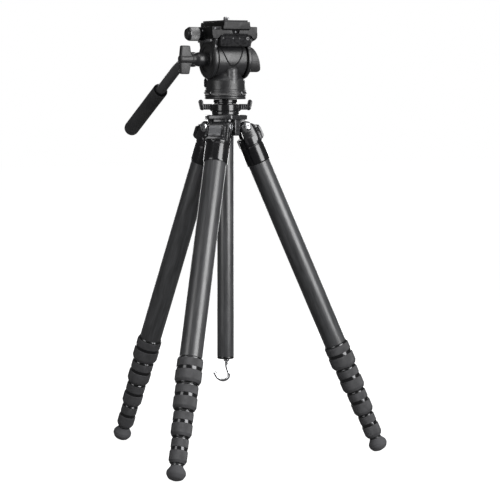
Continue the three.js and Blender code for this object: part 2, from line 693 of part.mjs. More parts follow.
// Receiver: an upside-down channel with two rails that hold the plate's dovetail.
function receiver() {
  const railTop = RECEIVER_FLOOR + RECEIVER_RAIL_RISE;
  const slot = 2 * FIT;
  const footInner = cheekInner + RECEIVER_FOOT_SETBACK;
  const section = outline([
    [receiverLeft + 1.5, RECEIVER_BOTTOM],
    [-footInner - 1.5, RECEIVER_BOTTOM],
    [-footInner + 1.5, RECEIVER_WEB_BOTTOM],
    [footInner - 1.5, RECEIVER_WEB_BOTTOM],
    [footInner + 1.5, RECEIVER_BOTTOM],
    [receiverRight, RECEIVER_BOTTOM],
    [receiverRight, railTop],
    [plateHalfWidth(RECEIVER_RAIL_RISE) + slot, railTop],
    [plateHalfWidth(0) + slot, RECEIVER_FLOOR],
    [-plateHalfWidth(0) - slot, RECEIVER_FLOOR],
    [-plateHalfWidth(RECEIVER_RAIL_RISE) - slot, railTop],
    [receiverLeft, railTop],
  ]);
  const channel = slabAlongY(section, -PLATFORM_HALF_LENGTH, PLATFORM_HALF_LENGTH);
  const boss = alongMinusX(rod(BOSS_RADIUS, -receiverLeft - 1, -receiverLeft + BOSS_LENGTH, 16));
  const bossBore = alongMinusX(rod(
    bore(KNOB_SHANK_RADIUS, SMALL_ROUND),
    -receiverLeft - 4,
    -receiverLeft + BOSS_LENGTH + 1,
    SMALL_ROUND,
  ));
  const catchHousing = alongX(turned([
    [0, receiverRight - 1],
    [CATCH_RADIUS, receiverRight - 1],
    [CATCH_RADIUS, receiverRight + CATCH_LENGTH - 4],
    [CATCH_RADIUS - 3, receiverRight + CATCH_LENGTH],
    [0, receiverRight + CATCH_LENGTH],
  ], 16));
  const rise = [0, 0, LOCK_KNOB_RISE];
  return cut(
    join(channel, boss.translate(rise), catchHousing.translate(rise)),
    bossBore.translate(rise),
  );
}

function plateLockKnob() {
  const start = -receiverLeft + BOSS_LENGTH + FIT;
  const end = start + LOCK_KNOB_LENGTH;
  return alongMinusX(turned([
    [0, start - KNOB_SHANK_LENGTH],
    [KNOB_SHANK_RADIUS, start - KNOB_SHANK_LENGTH],
    [KNOB_SHANK_RADIUS, start],
    [LOCK_KNOB_RADIUS, start],
    [LOCK_KNOB_RADIUS, end - 4],
    [LOCK_KNOB_RADIUS - 0.8, end - 1.4],
    [LOCK_KNOB_RADIUS - 2.4, end],
    [0, end],
  ], 16)).translate([0, 0, LOCK_KNOB_RISE]);
}

const screwHeadBottom = plateBottom + FIT;
const screwHeadTop = screwHeadBottom + SCREW_HEAD_HEIGHT;
const steadyPinBottom = screwHeadTop + STEADY_PIN_TRAVEL + 2 * FIT;

function cameraPlate() {
  const body = slabAlongY(outline([
    [-PLATE_HALF_WIDTH, plateBottom],
    [PLATE_HALF_WIDTH, plateBottom],
    [PLATE_TOP_HALF_WIDTH, plateTop],
    [-PLATE_TOP_HALF_WIDTH, plateTop],
  ]), -PLATE_HALF_LENGTH, PLATE_HALF_LENGTH);
  const shankBore = rod(bore(SCREW_RADIUS, 16), plateBottom - 1, plateTop + 1, 16);
  const headBore = rod(bore(SCREW_HEAD_RADIUS, 16), plateBottom - 1, screwHeadTop + FIT, 16);
  const pinBore = rod(
    bore(STEADY_PIN_RADIUS, SMALL_ROUND),
    steadyPinBottom - STEADY_PIN_TRAVEL - FIT,
    plateTop + 1,
    SMALL_ROUND,
  ).translate([0, STEADY_PIN_OFFSET, 0]);
  return cut(body, shankBore, headBore, pinBore);
}

function cameraScrew() {
  const top = plateTop + SCREW_RISE;
  return turned([
    [0, screwHeadBottom],
    [SCREW_HEAD_RADIUS, screwHeadBottom],
    [SCREW_HEAD_RADIUS, screwHeadTop],
    [SCREW_RADIUS, screwHeadTop],
    [SCREW_RADIUS, top - 0.8],
    [SCREW_RADIUS - 0.8, top],
    [0, top],
  ], 16);
}

function steadyPin() {
  const top = plateTop + STEADY_PIN_RISE;
  return rod(STEADY_PIN_RADIUS, steadyPinBottom, top, SMALL_ROUND).translate([0, STEADY_PIN_OFFSET, 0]);
}

// Lever-like knob on the right cheek: round seen from the side, wedge-shaped seen from the front.
function tiltLockKnob() {
  const start = cheekOuter + FIT + 0.2;
  const end = start + TILT_KNOB_LENGTH;
  const radius = TILT_KNOB_RADIUS;
  const wedge = slabAlongY(outline([
    [start, -radius],
    [end - 2, -radius],
    [end, -radius + 2],
    [end - 0.5, -radius * 0.3],
    [end - 5, radius * 0.35],
    [start + 5, radius],
    [start, radius],
  ]), -radius, radius);
  return wedge.intersect(alongX(rod(radius, start - 1, end + 1)));
}

// ---------------------------------------------------------------------------
// Pan bar, beside the left cheek, in heights above the tilt axis
// ---------------------------------------------------------------------------
function barClamp() {
  const inner = -(cheekOuter + ROSETTE_THICK + FIT);
  const neckEnd = clampOuter - 7;
  const stud = KNOB_SHANK_RADIUS + 1.4;
  const hub = alongMinusX(turned([
    [0, -inner],
    [ROSETTE_RADIUS, -inner],
    [ROSETTE_RADIUS, -clampOuter - 3],
    [WING_HUB_RADIUS + 0.5, -clampOuter],
    [WING_HUB_RADIUS + 0.5, -neckEnd],
    [stud, -neckEnd],
    [stud, -neckEnd + 8],
    [0, -neckEnd + 8],
  ]));
  const sleeve = alongY(rod(BAR_RADIUS + BAR_SOCKET_WALL, 0, BAR_SOCKET_END, 16)).translate([barX, 0, 0]);
  const barBore = alongY(rod(bore(BAR_RADIUS, 16), BAR_SOCKET_START - FIT, BAR_SOCKET_END + 1, 16));
  return cut(join(hub, sleeve), barBore.translate([barX, 0, 0]));
}

// Wing knob that clamps the rosette, with two wings above and below its hub.
function wingKnob() {
  const start = -(clampOuter - 7) + FIT;
  const end = start + WING_KNOB_LENGTH;
  const half = WING_KNOB_HEIGHT / 2;
  const hub = alongMinusX(rod(WING_HUB_RADIUS, start, end, 16));
  const wings = slabAlongY(outline([
    [-end, -half],
    [-end + 12, -half],
    [-start - 4.5, -WING_HUB_RADIUS],
    [-start - 4.5, WING_HUB_RADIUS],
    [-end + 12, half],
    [-end, half],
  ]), -WING_KNOB_THICK / 2, WING_KNOB_THICK / 2);
  const studBore = alongMinusX(rod(bore(KNOB_SHANK_RADIUS + 1.4, SMALL_ROUND), start - 1, start + 9, SMALL_ROUND));
  return cut(join(hub, wings), studBore);
}

function alongBar(distance) {
  const slope = radians(BAR_BEND);
  return new THREE.Vector3(barX, BAR_KNEE + distance * Math.cos(slope), -distance * Math.sin(slope));
}

function panBar() {
  const lead = new THREE.Vector3(barX, BAR_KNEE - BAR_KNEE_ROUND, 0);
  const start = new THREE.Vector3(barX, BAR_SOCKET_START, 0);
  const route = new THREE.CurvePath();
  route.add(new THREE.LineCurve3(start, lead));
  route.add(new THREE.QuadraticBezierCurve3(lead, alongBar(0), alongBar(BAR_KNEE_ROUND)));
  route.add(new THREE.LineCurve3(alongBar(BAR_KNEE_ROUND), alongBar(BAR_REACH - GRIP_END)));
  const ring = new THREE.Shape().absarc(0, 0, BAR_RADIUS, 0, 2 * Math.PI, false);
  ring.holes.push(new THREE.Path().absarc(0, 0, BAR_RADIUS - BAR_WALL, 0, 2 * Math.PI, true));
  const options = { steps: 16, bevelEnabled: false, extrudePath: route, curveSegments: 5 };
  return solid(new THREE.ExtrudeGeometry(ring, options));
}

function barGrip() {
  const hole = bore(BAR_RADIUS, 16);
  return turned([
    [0, 0],
    [GRIP_RADIUS - 4.5, 0],
    [GRIP_RADIUS - 1.2, 2],
    [GRIP_RADIUS, 6],
    [GRIP_RADIUS, GRIP_LENGTH - 2],
    [GRIP_RADIUS - 1.2, GRIP_LENGTH],
    [hole, GRIP_LENGTH],
    [hole, GRIP_END - FIT],
    [0, GRIP_END - FIT],
  ], 16).rotate([90 - BAR_BEND, 0, 0]).translate(alongBar(BAR_REACH).toArray());
}

// ---------------------------------------------------------------------------
// Assembly
// ---------------------------------------------------------------------------
function head() {
  const fixed = new THREE.Group();
  fixed.add(piece('head_base', headBase(), FINISH.satinBlack()));
  fixed.add(piece('head_body', headBody(), FINISH.satinBlack()));
  fixed.add(piece('pan_lock_knob', panLockKnob(), FINISH.castBlack()));
  const tilting = new THREE.Group();
  tilting.position.z = tiltHeight;
  tilting.add(piece('left_cheek', cheek(-1, true), FINISH.satinBlack()));
  tilting.add(piece('right_cheek', cheek(1, false), FINISH.satinBlack()));
  tilting.add(piece('platform', platform(), FINISH.satinBlack()));
  tilting.add(piece('plate_receiver', receiver(), FINISH.greyAlloy()));
  tilting.add(piece('plate_lock_knob', plateLockKnob(), FINISH.silverAlloy()));
  tilting.add(piece('camera_plate', cameraPlate(), FINISH.greyAlloy()));
  tilting.add(piece('camera_screw', cameraScrew(), FINISH.chrome()));
  tilting.add(piece('steady_pin', steadyPin(), FINISH.chrome()));
  tilting.add(piece('tilt_lock_knob', tiltLockKnob(), FINISH.knobPlastic()));
  tilting.add(piece('pan_bar_clamp', barClamp(), FINISH.castBlack()));
  tilting.add(piece('pan_bar_wing_knob', wingKnob(), FINISH.knobPlastic()));
  tilting.add(piece('pan_bar', panBar(), FINISH.satinBlack()));
  tilting.add(piece('pan_bar_grip', barGrip(), FINISH.foam()));
  const whole = new THREE.Group();
  whole.add(fixed, tilting);
  return whole;
}

function column() {
  const group = new THREE.Group();
  group.add(piece('spider', spider(), FINISH.castBlack()));
  group.add(piece('column_lock_collar', collar(), FINISH.castBlack()));
  group.add(piece('column_tube', columnTube(), FINISH.carbon()));
  group.add(piece('column_top_plate', topPlate(), FINISH.castBlack()));
  group.add(piece('column_hook', hook(), FINISH.chrome()));
  return group;
}

const model = new THREE.Group();
model.add(column(), head());
LEG_NAMES.forEach((name, k) => model.add(leg(name, legAzimuth(k))));

// The feet stand on Z = 0 and the middle of the whole object's box is over the origin.
const stand = new THREE.Group();
stand.add(model);
stand.updateMatrixWorld(true);
const box = new THREE.Box3().setFromObject(model, true);
const centre = box.getCenter(new THREE.Vector3());
model.position.set(-centre.x, -centre.y, -box.min.z);
stand.updateMatrixWorld(true);

export default stand;
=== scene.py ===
"""A five-section carbon tripod with a fluid video head: pieces, finishes, floor, light and camera.

Each sub-assembly is drawn in millimetres in a frame of its own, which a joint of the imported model
fixes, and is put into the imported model's metres when a piece is finished. A finished mesh keeps its
drawing coordinates in the attribute "local", and patterns that follow the piece read them.
"""

import json
import logging
import math
from dataclasses import dataclass
from enum import Enum
from typing import Callable, Optional, Sequence, Union

import bmesh
import bpy
from mathutils import Matrix, Vector


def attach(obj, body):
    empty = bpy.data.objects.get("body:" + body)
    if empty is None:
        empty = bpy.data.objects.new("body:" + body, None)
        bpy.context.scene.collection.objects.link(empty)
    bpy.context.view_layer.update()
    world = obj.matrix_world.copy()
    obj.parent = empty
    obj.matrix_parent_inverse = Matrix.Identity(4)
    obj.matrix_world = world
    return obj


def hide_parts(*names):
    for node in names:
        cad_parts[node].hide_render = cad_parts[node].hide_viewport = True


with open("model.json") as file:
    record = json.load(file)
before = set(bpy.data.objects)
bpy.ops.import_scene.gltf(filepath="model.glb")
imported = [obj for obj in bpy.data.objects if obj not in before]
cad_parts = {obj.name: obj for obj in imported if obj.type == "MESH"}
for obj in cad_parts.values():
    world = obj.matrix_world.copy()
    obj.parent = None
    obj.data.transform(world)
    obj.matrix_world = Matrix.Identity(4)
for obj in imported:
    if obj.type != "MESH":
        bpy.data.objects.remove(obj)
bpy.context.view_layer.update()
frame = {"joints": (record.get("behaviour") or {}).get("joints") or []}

log = logging.getLogger("tripod")

MM = 0.001
FIT = 0.3  # clearance between neighbouring pieces
WELD = 1e-4  # vertices closer than this are one
ROUND_STEPS = 72
FINE_STEPS = 120
SMALL_STEPS = 32
LOCAL = "local"

Corner = tuple[float, ...]
Value = Union[float, tuple[float, ...], bpy.types.NodeSocket]


class Slot(Enum):
    """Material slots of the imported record."""

    CARBON = "carbon"
    CAST_BLACK = "cast_black"
    HEAD_BLACK = "head_black"
    GRIP_RUBBER = "grip_rubber"
    FOOT_RUBBER = "foot_rubber"
    CHROME = "chrome"
    GREY_ALLOY = "grey_alloy"
    SILVER_ALLOY = "silver_alloy"
    KNOB_PLASTIC = "knob_plastic"
    FOAM = "foam"


class Plane(Enum):
    """Drawing plane of a slab: where its outline's two numbers and its thickness go."""

    XY = (0, 1, 2)
    XZ = (0, 2, 1)
    YZ = (1, 2, 0)


class Heading(Enum):
    """Where the axis of a turned piece points, as a rotation from +Z."""

    RIGHT = (90.0, "Y")
    LEFT = (-90.0, "Y")
    FRONT = (90.0, "X")
    BACK = (-90.0, "X")


# ---------------------------------------------------------------------------
# Drawing and shaping
# ---------------------------------------------------------------------------
def softened(outline: Sequence[Corner], closed: bool, facets: int = 4) -> list[Vector]:
    """Rounds the corners of an outline.

    Args:
        outline: Corners as (across, up) or (across, up, rounding).
        closed: Whether the last corner joins the first.
        facets: Number of short edges that make a rounded corner.

    Returns:
        The outline's points, with a smooth curve at each rounded corner.
    """
    corners = [Vector(corner[:2]) for corner in outline]
    last = len(corners) - 1
    points: list[Vector] = []
    for index, corner in enumerate(outline):
        here = corners[index]
        rounding = corner[2] if len(corner) > 2 else 0.0
        if not rounding or (not closed and index in (0, last)):
            points.append(here)
            continue
        before = corners[index - 1] - here
        after = corners[(index + 1) % (last + 1)] - here
        reach = min(rounding, before.length * 0.48, after.length * 0.48)
        start = here + before.normalized() * reach
        end = here + after.normalized() * reach
        for step in range(facets + 1):
            share = step / facets
            points.append(start.lerp(here, share).lerp(here.lerp(end, share), share))
    return points


def arc(centre: Corner, radius: float, start: float, end: float, steps: int = 16) -> list[Corner]:
    """Points of an arc.

    Args:
        centre: The arc's centre.
        radius: Its radius.
        start: Angle of the first point in degrees.
        end: Angle of the last point in degrees.
        steps: Number of edges.

    Returns:
        The points from start to end.
    """
    angles = [math.radians(start + (end - start) * step / steps) for step in range(steps + 1)]
    return [(centre[0] + radius * math.cos(a), centre[1] + radius * math.sin(a)) for a in angles]


def rectangle(width: float, height: float, rounding: float) -> list[Corner]:
    """Corners of a rounded rectangle about the origin.

    Args:
        width: Full width.
        height: Full height.
        rounding: Size of its round corners.

    Returns:
        Four corners, each with its rounding.
    """
    x, y = width / 2, height / 2
    return [(-x, -y, rounding), (x, -y, rounding), (x, y, rounding), (-x, y, rounding)]


class Form:
    """A closed shape under way, in millimetres."""

    def __init__(self) -> None:
        """Starts with nothing."""
        self.mesh = bmesh.new()

    @classmethod
    def turned(cls, outline: Sequence[Corner], steps: int = ROUND_STEPS) -> "Form":
        """Spins an outline of (radius, height, rounding) corners about Z.

        Args:
            outline: A solid's outline starts and ends on the axis; any other closes into a ring.
            steps: Number of faces round the axis.

        Returns:
            The turned shape.
        """
        form = cls()
        solid = outline[0][0] == 0 and outline[-1][0] == 0
        points = softened(outline, closed=not solid)
        verts = [form.mesh.verts.new((point.x, 0, point.y)) for point in points]
        pairs = list(zip(verts, verts[1:]))
        if not solid:
            pairs.append((verts[-1], verts[0]))
        edges = [form.mesh.edges.new(pair) for pair in pairs]
        bmesh.ops.spin(
            form.mesh, geom=verts + edges, cent=(0, 0, 0), axis=(0, 0, 1),
            angle=2 * math.pi, steps=steps, use_merge=True,
        )
        return form.welded()

    @classmethod
    def slab(
        cls, outline: Sequence[Corner], low: float, high: float, plane: Plane = Plane.XY,
        edge: float = 0.0,
    ) -> "Form":
        """Raises an outline into a slab.

        Args:
            outline: Corners of the closed outline, with their roundings.
            low: Where the slab starts on the plane's third axis.
            high: Where it ends.
            plane: The drawing plane.
            edge: Width of the rounding on its rims.

        Returns:
            The slab.
        """
        form = cls()
        across, up, through = plane.value
        verts = []
        for point in softened(outline, closed=True):
            place = [0.0, 0.0, 0.0]
            place[across], place[up], place[through] = point.x, point.y, low
            verts.append(form.mesh.verts.new(place))
        face = form.mesh.faces.new(verts)
        raised = bmesh.ops.extrude_face_region(form.mesh, geom=[face])["geom"]
        lift = [0.0, 0.0, 0.0]
        lift[through] = high - low
        top = [item for item in raised if isinstance(item, bmesh.types.BMVert)]
        bmesh.ops.translate(form.mesh, verts=top, vec=lift)
        form.welded()
        return form.bevelled(edge) if edge else form

    @classmethod
    def block(cls, low: Corner, high: Corner, edge: float = 0.0) -> "Form":
        """A block between two opposite corners.

        Args:
            low: Its lowest corner.
            high: Its highest corner.
            edge: Width of the rounding on its edges.

        Returns:
            The block.
        """
        form = cls()
        size = Vector(high) - Vector(low)
        middle = (Vector(high) + Vector(low)) / 2
        bmesh.ops.create_cube(
            form.mesh, size=1.0, matrix=Matrix.Translation(middle) @ Matrix.Diagonal((*size, 1))
        )
        return form.bevelled(edge) if edge else form

    @classmethod
    def bent(cls, route: Sequence[Corner], radius: float, sides: int = 6) -> "Form":
        """A rod bent along a smooth line through a few points.

        Args:
            route: Points that the middle line passes.
            radius: The rod's radius.
            sides: Fineness of its section.

        Returns:
            The rod, with closed ends.
        """
        line = bpy.data.curves.new("route", "CURVE")
        line.dimensions = "3D"
        line.bevel_depth = radius
        line.bevel_resolution = sides
        line.use_fill_caps = True
        line.resolution_u = 10
        spline = line.splines.new("BEZIER")
        spline.bezier_points.add(len(route) - 1)
        for knot, point in zip(spline.bezier_points, route):
            knot.co = point
            knot.handle_left_type = knot.handle_right_type = "AUTO"
        holder = bpy.data.objects.new("route", line)
        mesh = bpy.data.meshes.new_from_object(holder)
        form = cls()
        form.mesh.from_mesh(mesh)
        bpy.data.objects.remove(holder)
        bpy.data.curves.remove(line)
        bpy.data.meshes.remove(mesh)
        return form.welded()

    def welded(self) -> "Form":
        """Merges doubled vertices and turns the faces outwards."""
        bmesh.ops.remove_doubles(self.mesh, verts=self.mesh.verts, dist=WELD)
        bmesh.ops.recalc_face_normals(self.mesh, faces=self.mesh.faces)
        return self

    def bevelled(
        self, width: float, segments: int = 3, sharper_than: float = 30.0,
        where: Optional[Callable[[bmesh.types.BMEdge], bool]] = None,
    ) -> "Form":
        """Rounds sharp edges.

        Args:
            width: How far the rounding reaches from an edge.
            segments: Number of faces across it.
            sharper_than: Only edges that turn by more than this many degrees.
            where: A test that picks some of the edges.

        Returns:
            This shape.
        """
        limit = math.radians(sharper_than)
        edges = [
            edge for edge in self.mesh.edges
            if len(edge.link_faces) == 2 and edge.calc_face_angle(
                ) > limit and (where is None or where(edge)
            )
        ]
        bmesh.ops.bevel(
            self.mesh, geom=edges, offset=width, offset_type="OFFSET", segments=segments,
            profile=0.5, affect="EDGES", clamp_overlap=True, material=-1,
        )
        return self

    def ribbed(self, count: int, depth: float, low: float, high: float, beyond: float) -> "Form":
        """Cuts ribs along Z into the outer wall of a shape turned with four steps to a rib.

        Args:
            count: Number of ribs round the wall.
            depth: Depth of the grooves.
            low: Height above which the grooves start.
            high: Height below which they end.
            beyond: Only the wall outside this radius.

        Returns:
            This shape.
        """
        for vert in self.mesh.verts:
            radius = math.hypot(vert.co.x, vert.co.y)
            if low < vert.co.z < high and radius > beyond:
                angle = math.atan2(vert.co.y, vert.co.x)
                share = 1 - depth * (0.5 - 0.5 * math.cos(count * angle)) / radius
                vert.co.x *= share
                vert.co.y *= share
        return self

    def moved(self, x: float = 0.0, y: float = 0.0, z: float = 0.0) -> "Form":
        """Moves the shape."""
        bmesh.ops.translate(self.mesh, verts=self.mesh.verts, vec=(x, y, z))
        return self

    def rotated(self, degrees: float, axis: str = "Z") -> "Form":
        """Turns the shape about an axis through the origin."""
        turn = Matrix.Rotation(math.radians(degrees), 3, axis)
        bmesh.ops.rotate(self.mesh, verts=self.mesh.verts, cent=(0, 0, 0), matrix=turn)
        return self

    def facing(self, heading: Heading) -> "Form":
        """Lays a shape that was made about +Z along another axis."""
        return self.rotated(*heading.value)

    def copied(self) -> "Form":
        """A second shape like this one."""
        twin = Form()
        twin.mesh = self.mesh.copy()
        return twin

    def mirrored(self, axis: str) -> "Form":
        """Flips the shape across the plane through the origin at right angles to an axis."""
        scale = Vector(tuple(-1.0 if name == axis else 1.0 for name in "XYZ"))
        bmesh.ops.scale(self.mesh, verts=self.mesh.verts, vec=scale)
        return self.welded()

    def joined(self, *others: "Form") -> "Form":
        """Adds other shapes to this one and uses them up."""
        for other in others:
            shell = bpy.data.meshes.new("shell")
            other.mesh.to_mesh(shell)
            self.mesh.from_mesh(shell)
            bpy.data.meshes.remove(shell)
            other.mesh.free()
        return self

    def as_mesh(self, name: str) -> bpy.types.Mesh:
        """Writes the shape to a mesh and uses the shape up."""
        mesh = bpy.data.meshes.new(name)
        self.mesh.to_mesh(mesh)
        self.mesh.free()
        return mesh

    def _combined(self, other: "Form", operation: str) -> "Form":
        """Cuts this shape with another one, which is used up."""
        blank = bpy.data.objects.new("blank", self.as_mesh("blank"))
        tool = bpy.data.objects.new("tool", other.as_mesh("tool"))
        for part in (blank, tool):
            bpy.context.scene.collection.objects.link(part)
        knife = blank.modifiers.new("knife", "BOOLEAN")
        knife.operation = operation
        knife.solver = "EXACT"
        knife.object = tool
        graph = bpy.context.evaluated_depsgraph_get()
        result = bpy.data.meshes.new_from_object(blank.evaluated_get(graph))
        self.mesh = bmesh.new()
        self.mesh.from_mesh(result)
        for part in (blank, tool):
            mesh = part.data
            bpy.data.objects.remove(part)
            bpy.data.meshes.remove(mesh)
        bpy.data.meshes.remove(result)
        return self

    def carved(self, *tools: "Form") -> "Form":
        """Takes other shapes out of this one."""
        for tool in tools:
            self._combined(tool, "DIFFERENCE")
        return self

    def trimmed(self, other: "Form") -> "Form":
        """Keeps only what lies inside another shape."""
        return self._combined(other, "INTERSECT")


# ---------------------------------------------------------------------------
# Finishes
# ---------------------------------------------------------------------------
class Wiring:
    """Adds and joins the nodes of one shader tree."""

    def __init__(self, tree: bpy.types.NodeTree) -> None:
        """Takes the tree that the nodes go into."""
        self.tree = tree

    def add(
        self, kind: str, inputs: Optional[dict[Union[str, int], Value]] = None, **settings: object
    ) -> bpy.types.Node:
        """Adds a node.

        Args:
            kind: Its type, without the leading "ShaderNode".
            inputs: Values or sockets for its inputs, by name or number.
            settings: Its properties.

        Returns:
            The node.
        """
        node = self.tree.nodes.new("ShaderNode" + kind)
        for key, value in settings.items():
            setattr(node, key, value)
        for socket, value in (inputs or {}).items():
            if isinstance(value, bpy.types.NodeSocket):
                self.tree.links.new(value, node.inputs[socket])
            else:
                node.inputs[socket].default_value = value
        return node

    def sum(self, operation: str, first: Value, second: Value = 0.0) -> bpy.types.NodeSocket:
        """The result of a Math node."""
        return self.add("Math", {0: first, 1: second}, operation=operation).outputs[0]

    def spread(
        self, value: Value, low: float, high: float, to_low: float = 0.0, to_high: float = 1.0
    ) -> bpy.types.NodeSocket:
        """Maps a range of values to another range and clamps it."""
        inputs = {
            "Value": value, "From Min": low, "From Max": high, "To Min": to_low, "To Max": to_high
        }
        return self.add("MapRange", inputs).outputs["Result"]

    def tint(self, mask: Value, first: Value, second: Value) -> bpy.types.NodeSocket:
        """Goes from the first colour to the second as the mask goes from 0 to 1."""
        node = self.add("Mix", {"Factor": mask}, data_type="RGBA")
        for socket, value in ((node.inputs[6], first), (node.inputs[7], second)):
            if isinstance(value, bpy.types.NodeSocket):
                self.tree.links.new(value, socket)
            else:
                socket.default_value = value
        return node.outputs[2]

    def effect(self, group: bpy.types.NodeTree, **inputs: Value) -> bpy.types.Node:
        """Adds a shared effect with its own values."""
        node = self.tree.nodes.new("ShaderNodeGroup")
        node.node_tree = group
        for name, value in inputs.items():
            if isinstance(value, bpy.types.NodeSocket):
                self.tree.links.new(value, node.inputs[name])
            else:
                node.inputs[name].default_value = value
        return node


class EffectBook:
    """The shared surface effects. Places are in millimetres of the piece's own drawing."""

    def __init__(self) -> None:
        """Draws every effect once."""
        self.grain = self._grain()
        self.streaks = self._streaks()
        self.wear = self._wear()
        self.smudges = self._smudges()
        self.ribs = self._ribs()

    @staticmethod
    def _blank(
        name: str, numbers: dict[str, float], outputs: Sequence[str]
    ) -> tuple[Wiring, bpy.types.Node, bpy.types.Node]:
        """Starts an effect with a Place input.

        Args:
            name: The effect's name.
            numbers: Its other inputs and their usual values.
            outputs: Names of what it puts out.

        Returns:
            Its wiring, input node and output node.
        """
        group = bpy.data.node_groups.new(name, "ShaderNodeTree")
        group.interface.new_socket("Place", in_out="INPUT", socket_type="NodeSocketVector")
        for key, value in numbers.items():
            group.interface.new_socket(
                key, in_out="INPUT", socket_type="NodeSocketFloat"
            ).default_value = value
        for key in outputs:
            group.interface.new_socket(key, in_out="OUTPUT", socket_type="NodeSocketFloat")
        return Wiring(group), group.nodes.new("NodeGroupInput"), group.nodes.new("NodeGroupOutput")

    def _grain(self) -> bpy.types.NodeTree:
        """Fine even grain of paint, rubber or blasted metal."""
        wires, given, result = self._blank("surface_grain", {"Scale": 1.0}, ("Height", "Mask"))
        inputs = {
            "Vector": given.outputs["Place"], "Scale": given.outputs["Scale"], "Detail": 3.0,
            "Roughness": 0.6
        }
        noise = wires.add("TexNoise", inputs)
        wires.tree.links.new(noise.outputs["Fac"], result.inputs["Height"])
        wires.tree.links.new(wires.spread(noise.outputs["Fac"], 0.38, 0.66), result.inputs["Mask"])
        return wires.tree

    def _streaks(self) -> bpy.types.NodeTree:
        """Wavy streaks along Z, as of wound fibres or a drawn bar."""
        wires, given, result = self._blank(
            "lengthwise_streaks", {"Across": 0.4, "Along": 0.02, "Wave": 1.0}, ("Height", "Mask"),
        )
        bend = wires.add("TexNoise", {"Vector": given.outputs["Place"], "Scale": 0.02, "Detail": 1.0})
        shift = wires.sum(
            "MULTIPLY", wires.sum("SUBTRACT", bend.outputs["Fac"], 0.5), given.outputs["Wave"]
        )
        parts = wires.add("SeparateXYZ", {0: given.outputs["Place"]})
        across = given.outputs["Across"]
        place = wires.add("CombineXYZ", {
            0: wires.sum("ADD", wires.sum("MULTIPLY", parts.outputs[0], across), shift),
            1: wires.sum("ADD", wires.sum("MULTIPLY", parts.outputs[1], across), shift),
            2: wires.sum("MULTIPLY", parts.outputs[2], given.outputs["Along"]),
        })
        noise = wires.add(
            "TexNoise", {"Vector": place.outputs[0], "Scale": 1.0, "Detail": 4.0, "Roughness": 0.65}
        )
        wires.tree.links.new(noise.outputs["Fac"], result.inputs["Height"])
        wires.tree.links.new(wires.spread(noise.outputs["Fac"], 0.35, 0.68), result.inputs["Mask"])
        return wires.tree

    def _wear(self) -> bpy.types.NodeTree:
        """Rubbed edges: where the surface turns sharply outwards, in patches."""
        wires, given, result = self._blank("edge_wear", {"Amount": 1.0, "Patch": 0.25}, ("Mask",))
        sharp = wires.spread(wires.add("NewGeometry").outputs["Pointiness"], 0.515, 0.6)
        patch = wires.add(
            "TexNoise",
            {"Vector": given.outputs["Place"], "Scale": given.outputs["Patch"], "Detail": 4.0}
        )
        patchy = wires.spread(patch.outputs["Fac"], 0.35, 0.62, 0.25, 1.0)
        mask = wires.sum("MULTIPLY", wires.sum("MULTIPLY", sharp, patchy), given.outputs["Amount"])
        wires.tree.links.new(mask, result.inputs["Mask"])
        return wires.tree

    def _smudges(self) -> bpy.types.NodeTree:
        """Large soft patches where hands and cloths have changed the gloss."""
        wires, given, result = self._blank("handling_smudges", {"Scale": 0.04}, ("Mask",))
        inputs = {
            "Vector": given.outputs["Place"], "Scale": given.outputs["Scale"], "Detail": 5.0,
            "Distortion": 0.6
        }
        noise = wires.add("TexNoise", inputs)
        wires.tree.links.new(wires.spread(noise.outputs["Fac"], 0.32, 0.7), result.inputs["Mask"])
        return wires.tree

    def _ribs(self) -> bpy.types.NodeTree:
        """Fine lines round the axis Z, one for each share of a full turn."""
        wires, given, result = self._blank("round_ribs", {"Count": 60.0}, ("Height", "Mask"))
        parts = wires.add("SeparateXYZ", {0: given.outputs["Place"]})
        angle = wires.sum("ARCTAN2", parts.outputs[1], parts.outputs[0])
        wave = wires.sum("COSINE", wires.sum("MULTIPLY", angle, given.outputs["Count"]))
        wires.tree.links.new(wires.spread(wave, -1.0, 1.0), result.inputs["Height"])
        # The mask marks the grooves between ribs, where Rubber paints shade.
        wires.tree.links.new(wires.spread(wave, -0.2, -0.9), result.inputs["Mask"])
        return wires.tree


EFFECTS = EffectBook()
Colour = tuple[float, float, float]


def shade(colour: Colour, factor: float = 1.0) -> tuple[float, float, float, float]:
    """A colour with full cover, made lighter or darker by a factor."""
    return (colour[0] * factor, colour[1] * factor, colour[2] * factor, 1.0)


@dataclass(frozen=True)
class Finish:
    """How a surface looks. Each kind of finish wires its own nodes."""

    name: str
    slot: Slot
    colour: Colour
    roughness: float

    def sockets(self, wires: Wiring, place: bpy.types.NodeSocket) -> dict[str, Value]:
        """What feeds the surface shader.

        Args:
            wires: The material's wiring.
            place: The piece's own drawing coordinates.

        Returns:
            Values and sockets by the name of the shader's input.
        """
        raise NotImplementedError

    def relief(self, wires: Wiring, height: Value, depth: float) -> bpy.types.NodeSocket:
        """Turns a height into a normal, for a relief of some depth in millimetres."""
        return wires.add(
            "Bump", {"Height": height, "Distance": depth * MM, "Strength": 1.0}
        ).outputs["Normal"]

    def material(self) -> bpy.types.Material:
        """The finish's material, made the first time it is asked for."""
        if self.name in bpy.data.materials:
            return bpy.data.materials[self.name]
        material = bpy.data.materials.new(self.name)
        material.use_nodes = True
        wires = Wiring(material.node_tree)
        shader = material.node_tree.nodes["Principled BSDF"]
        place = wires.add("Attribute", attribute_name=LOCAL).outputs["Vector"]
        for key, value in self.sockets(wires, place).items():
            if isinstance(value, bpy.types.NodeSocket):
                material.node_tree.links.new(value, shader.inputs[key])
            else:
                shader.inputs[key].default_value = value
        return material


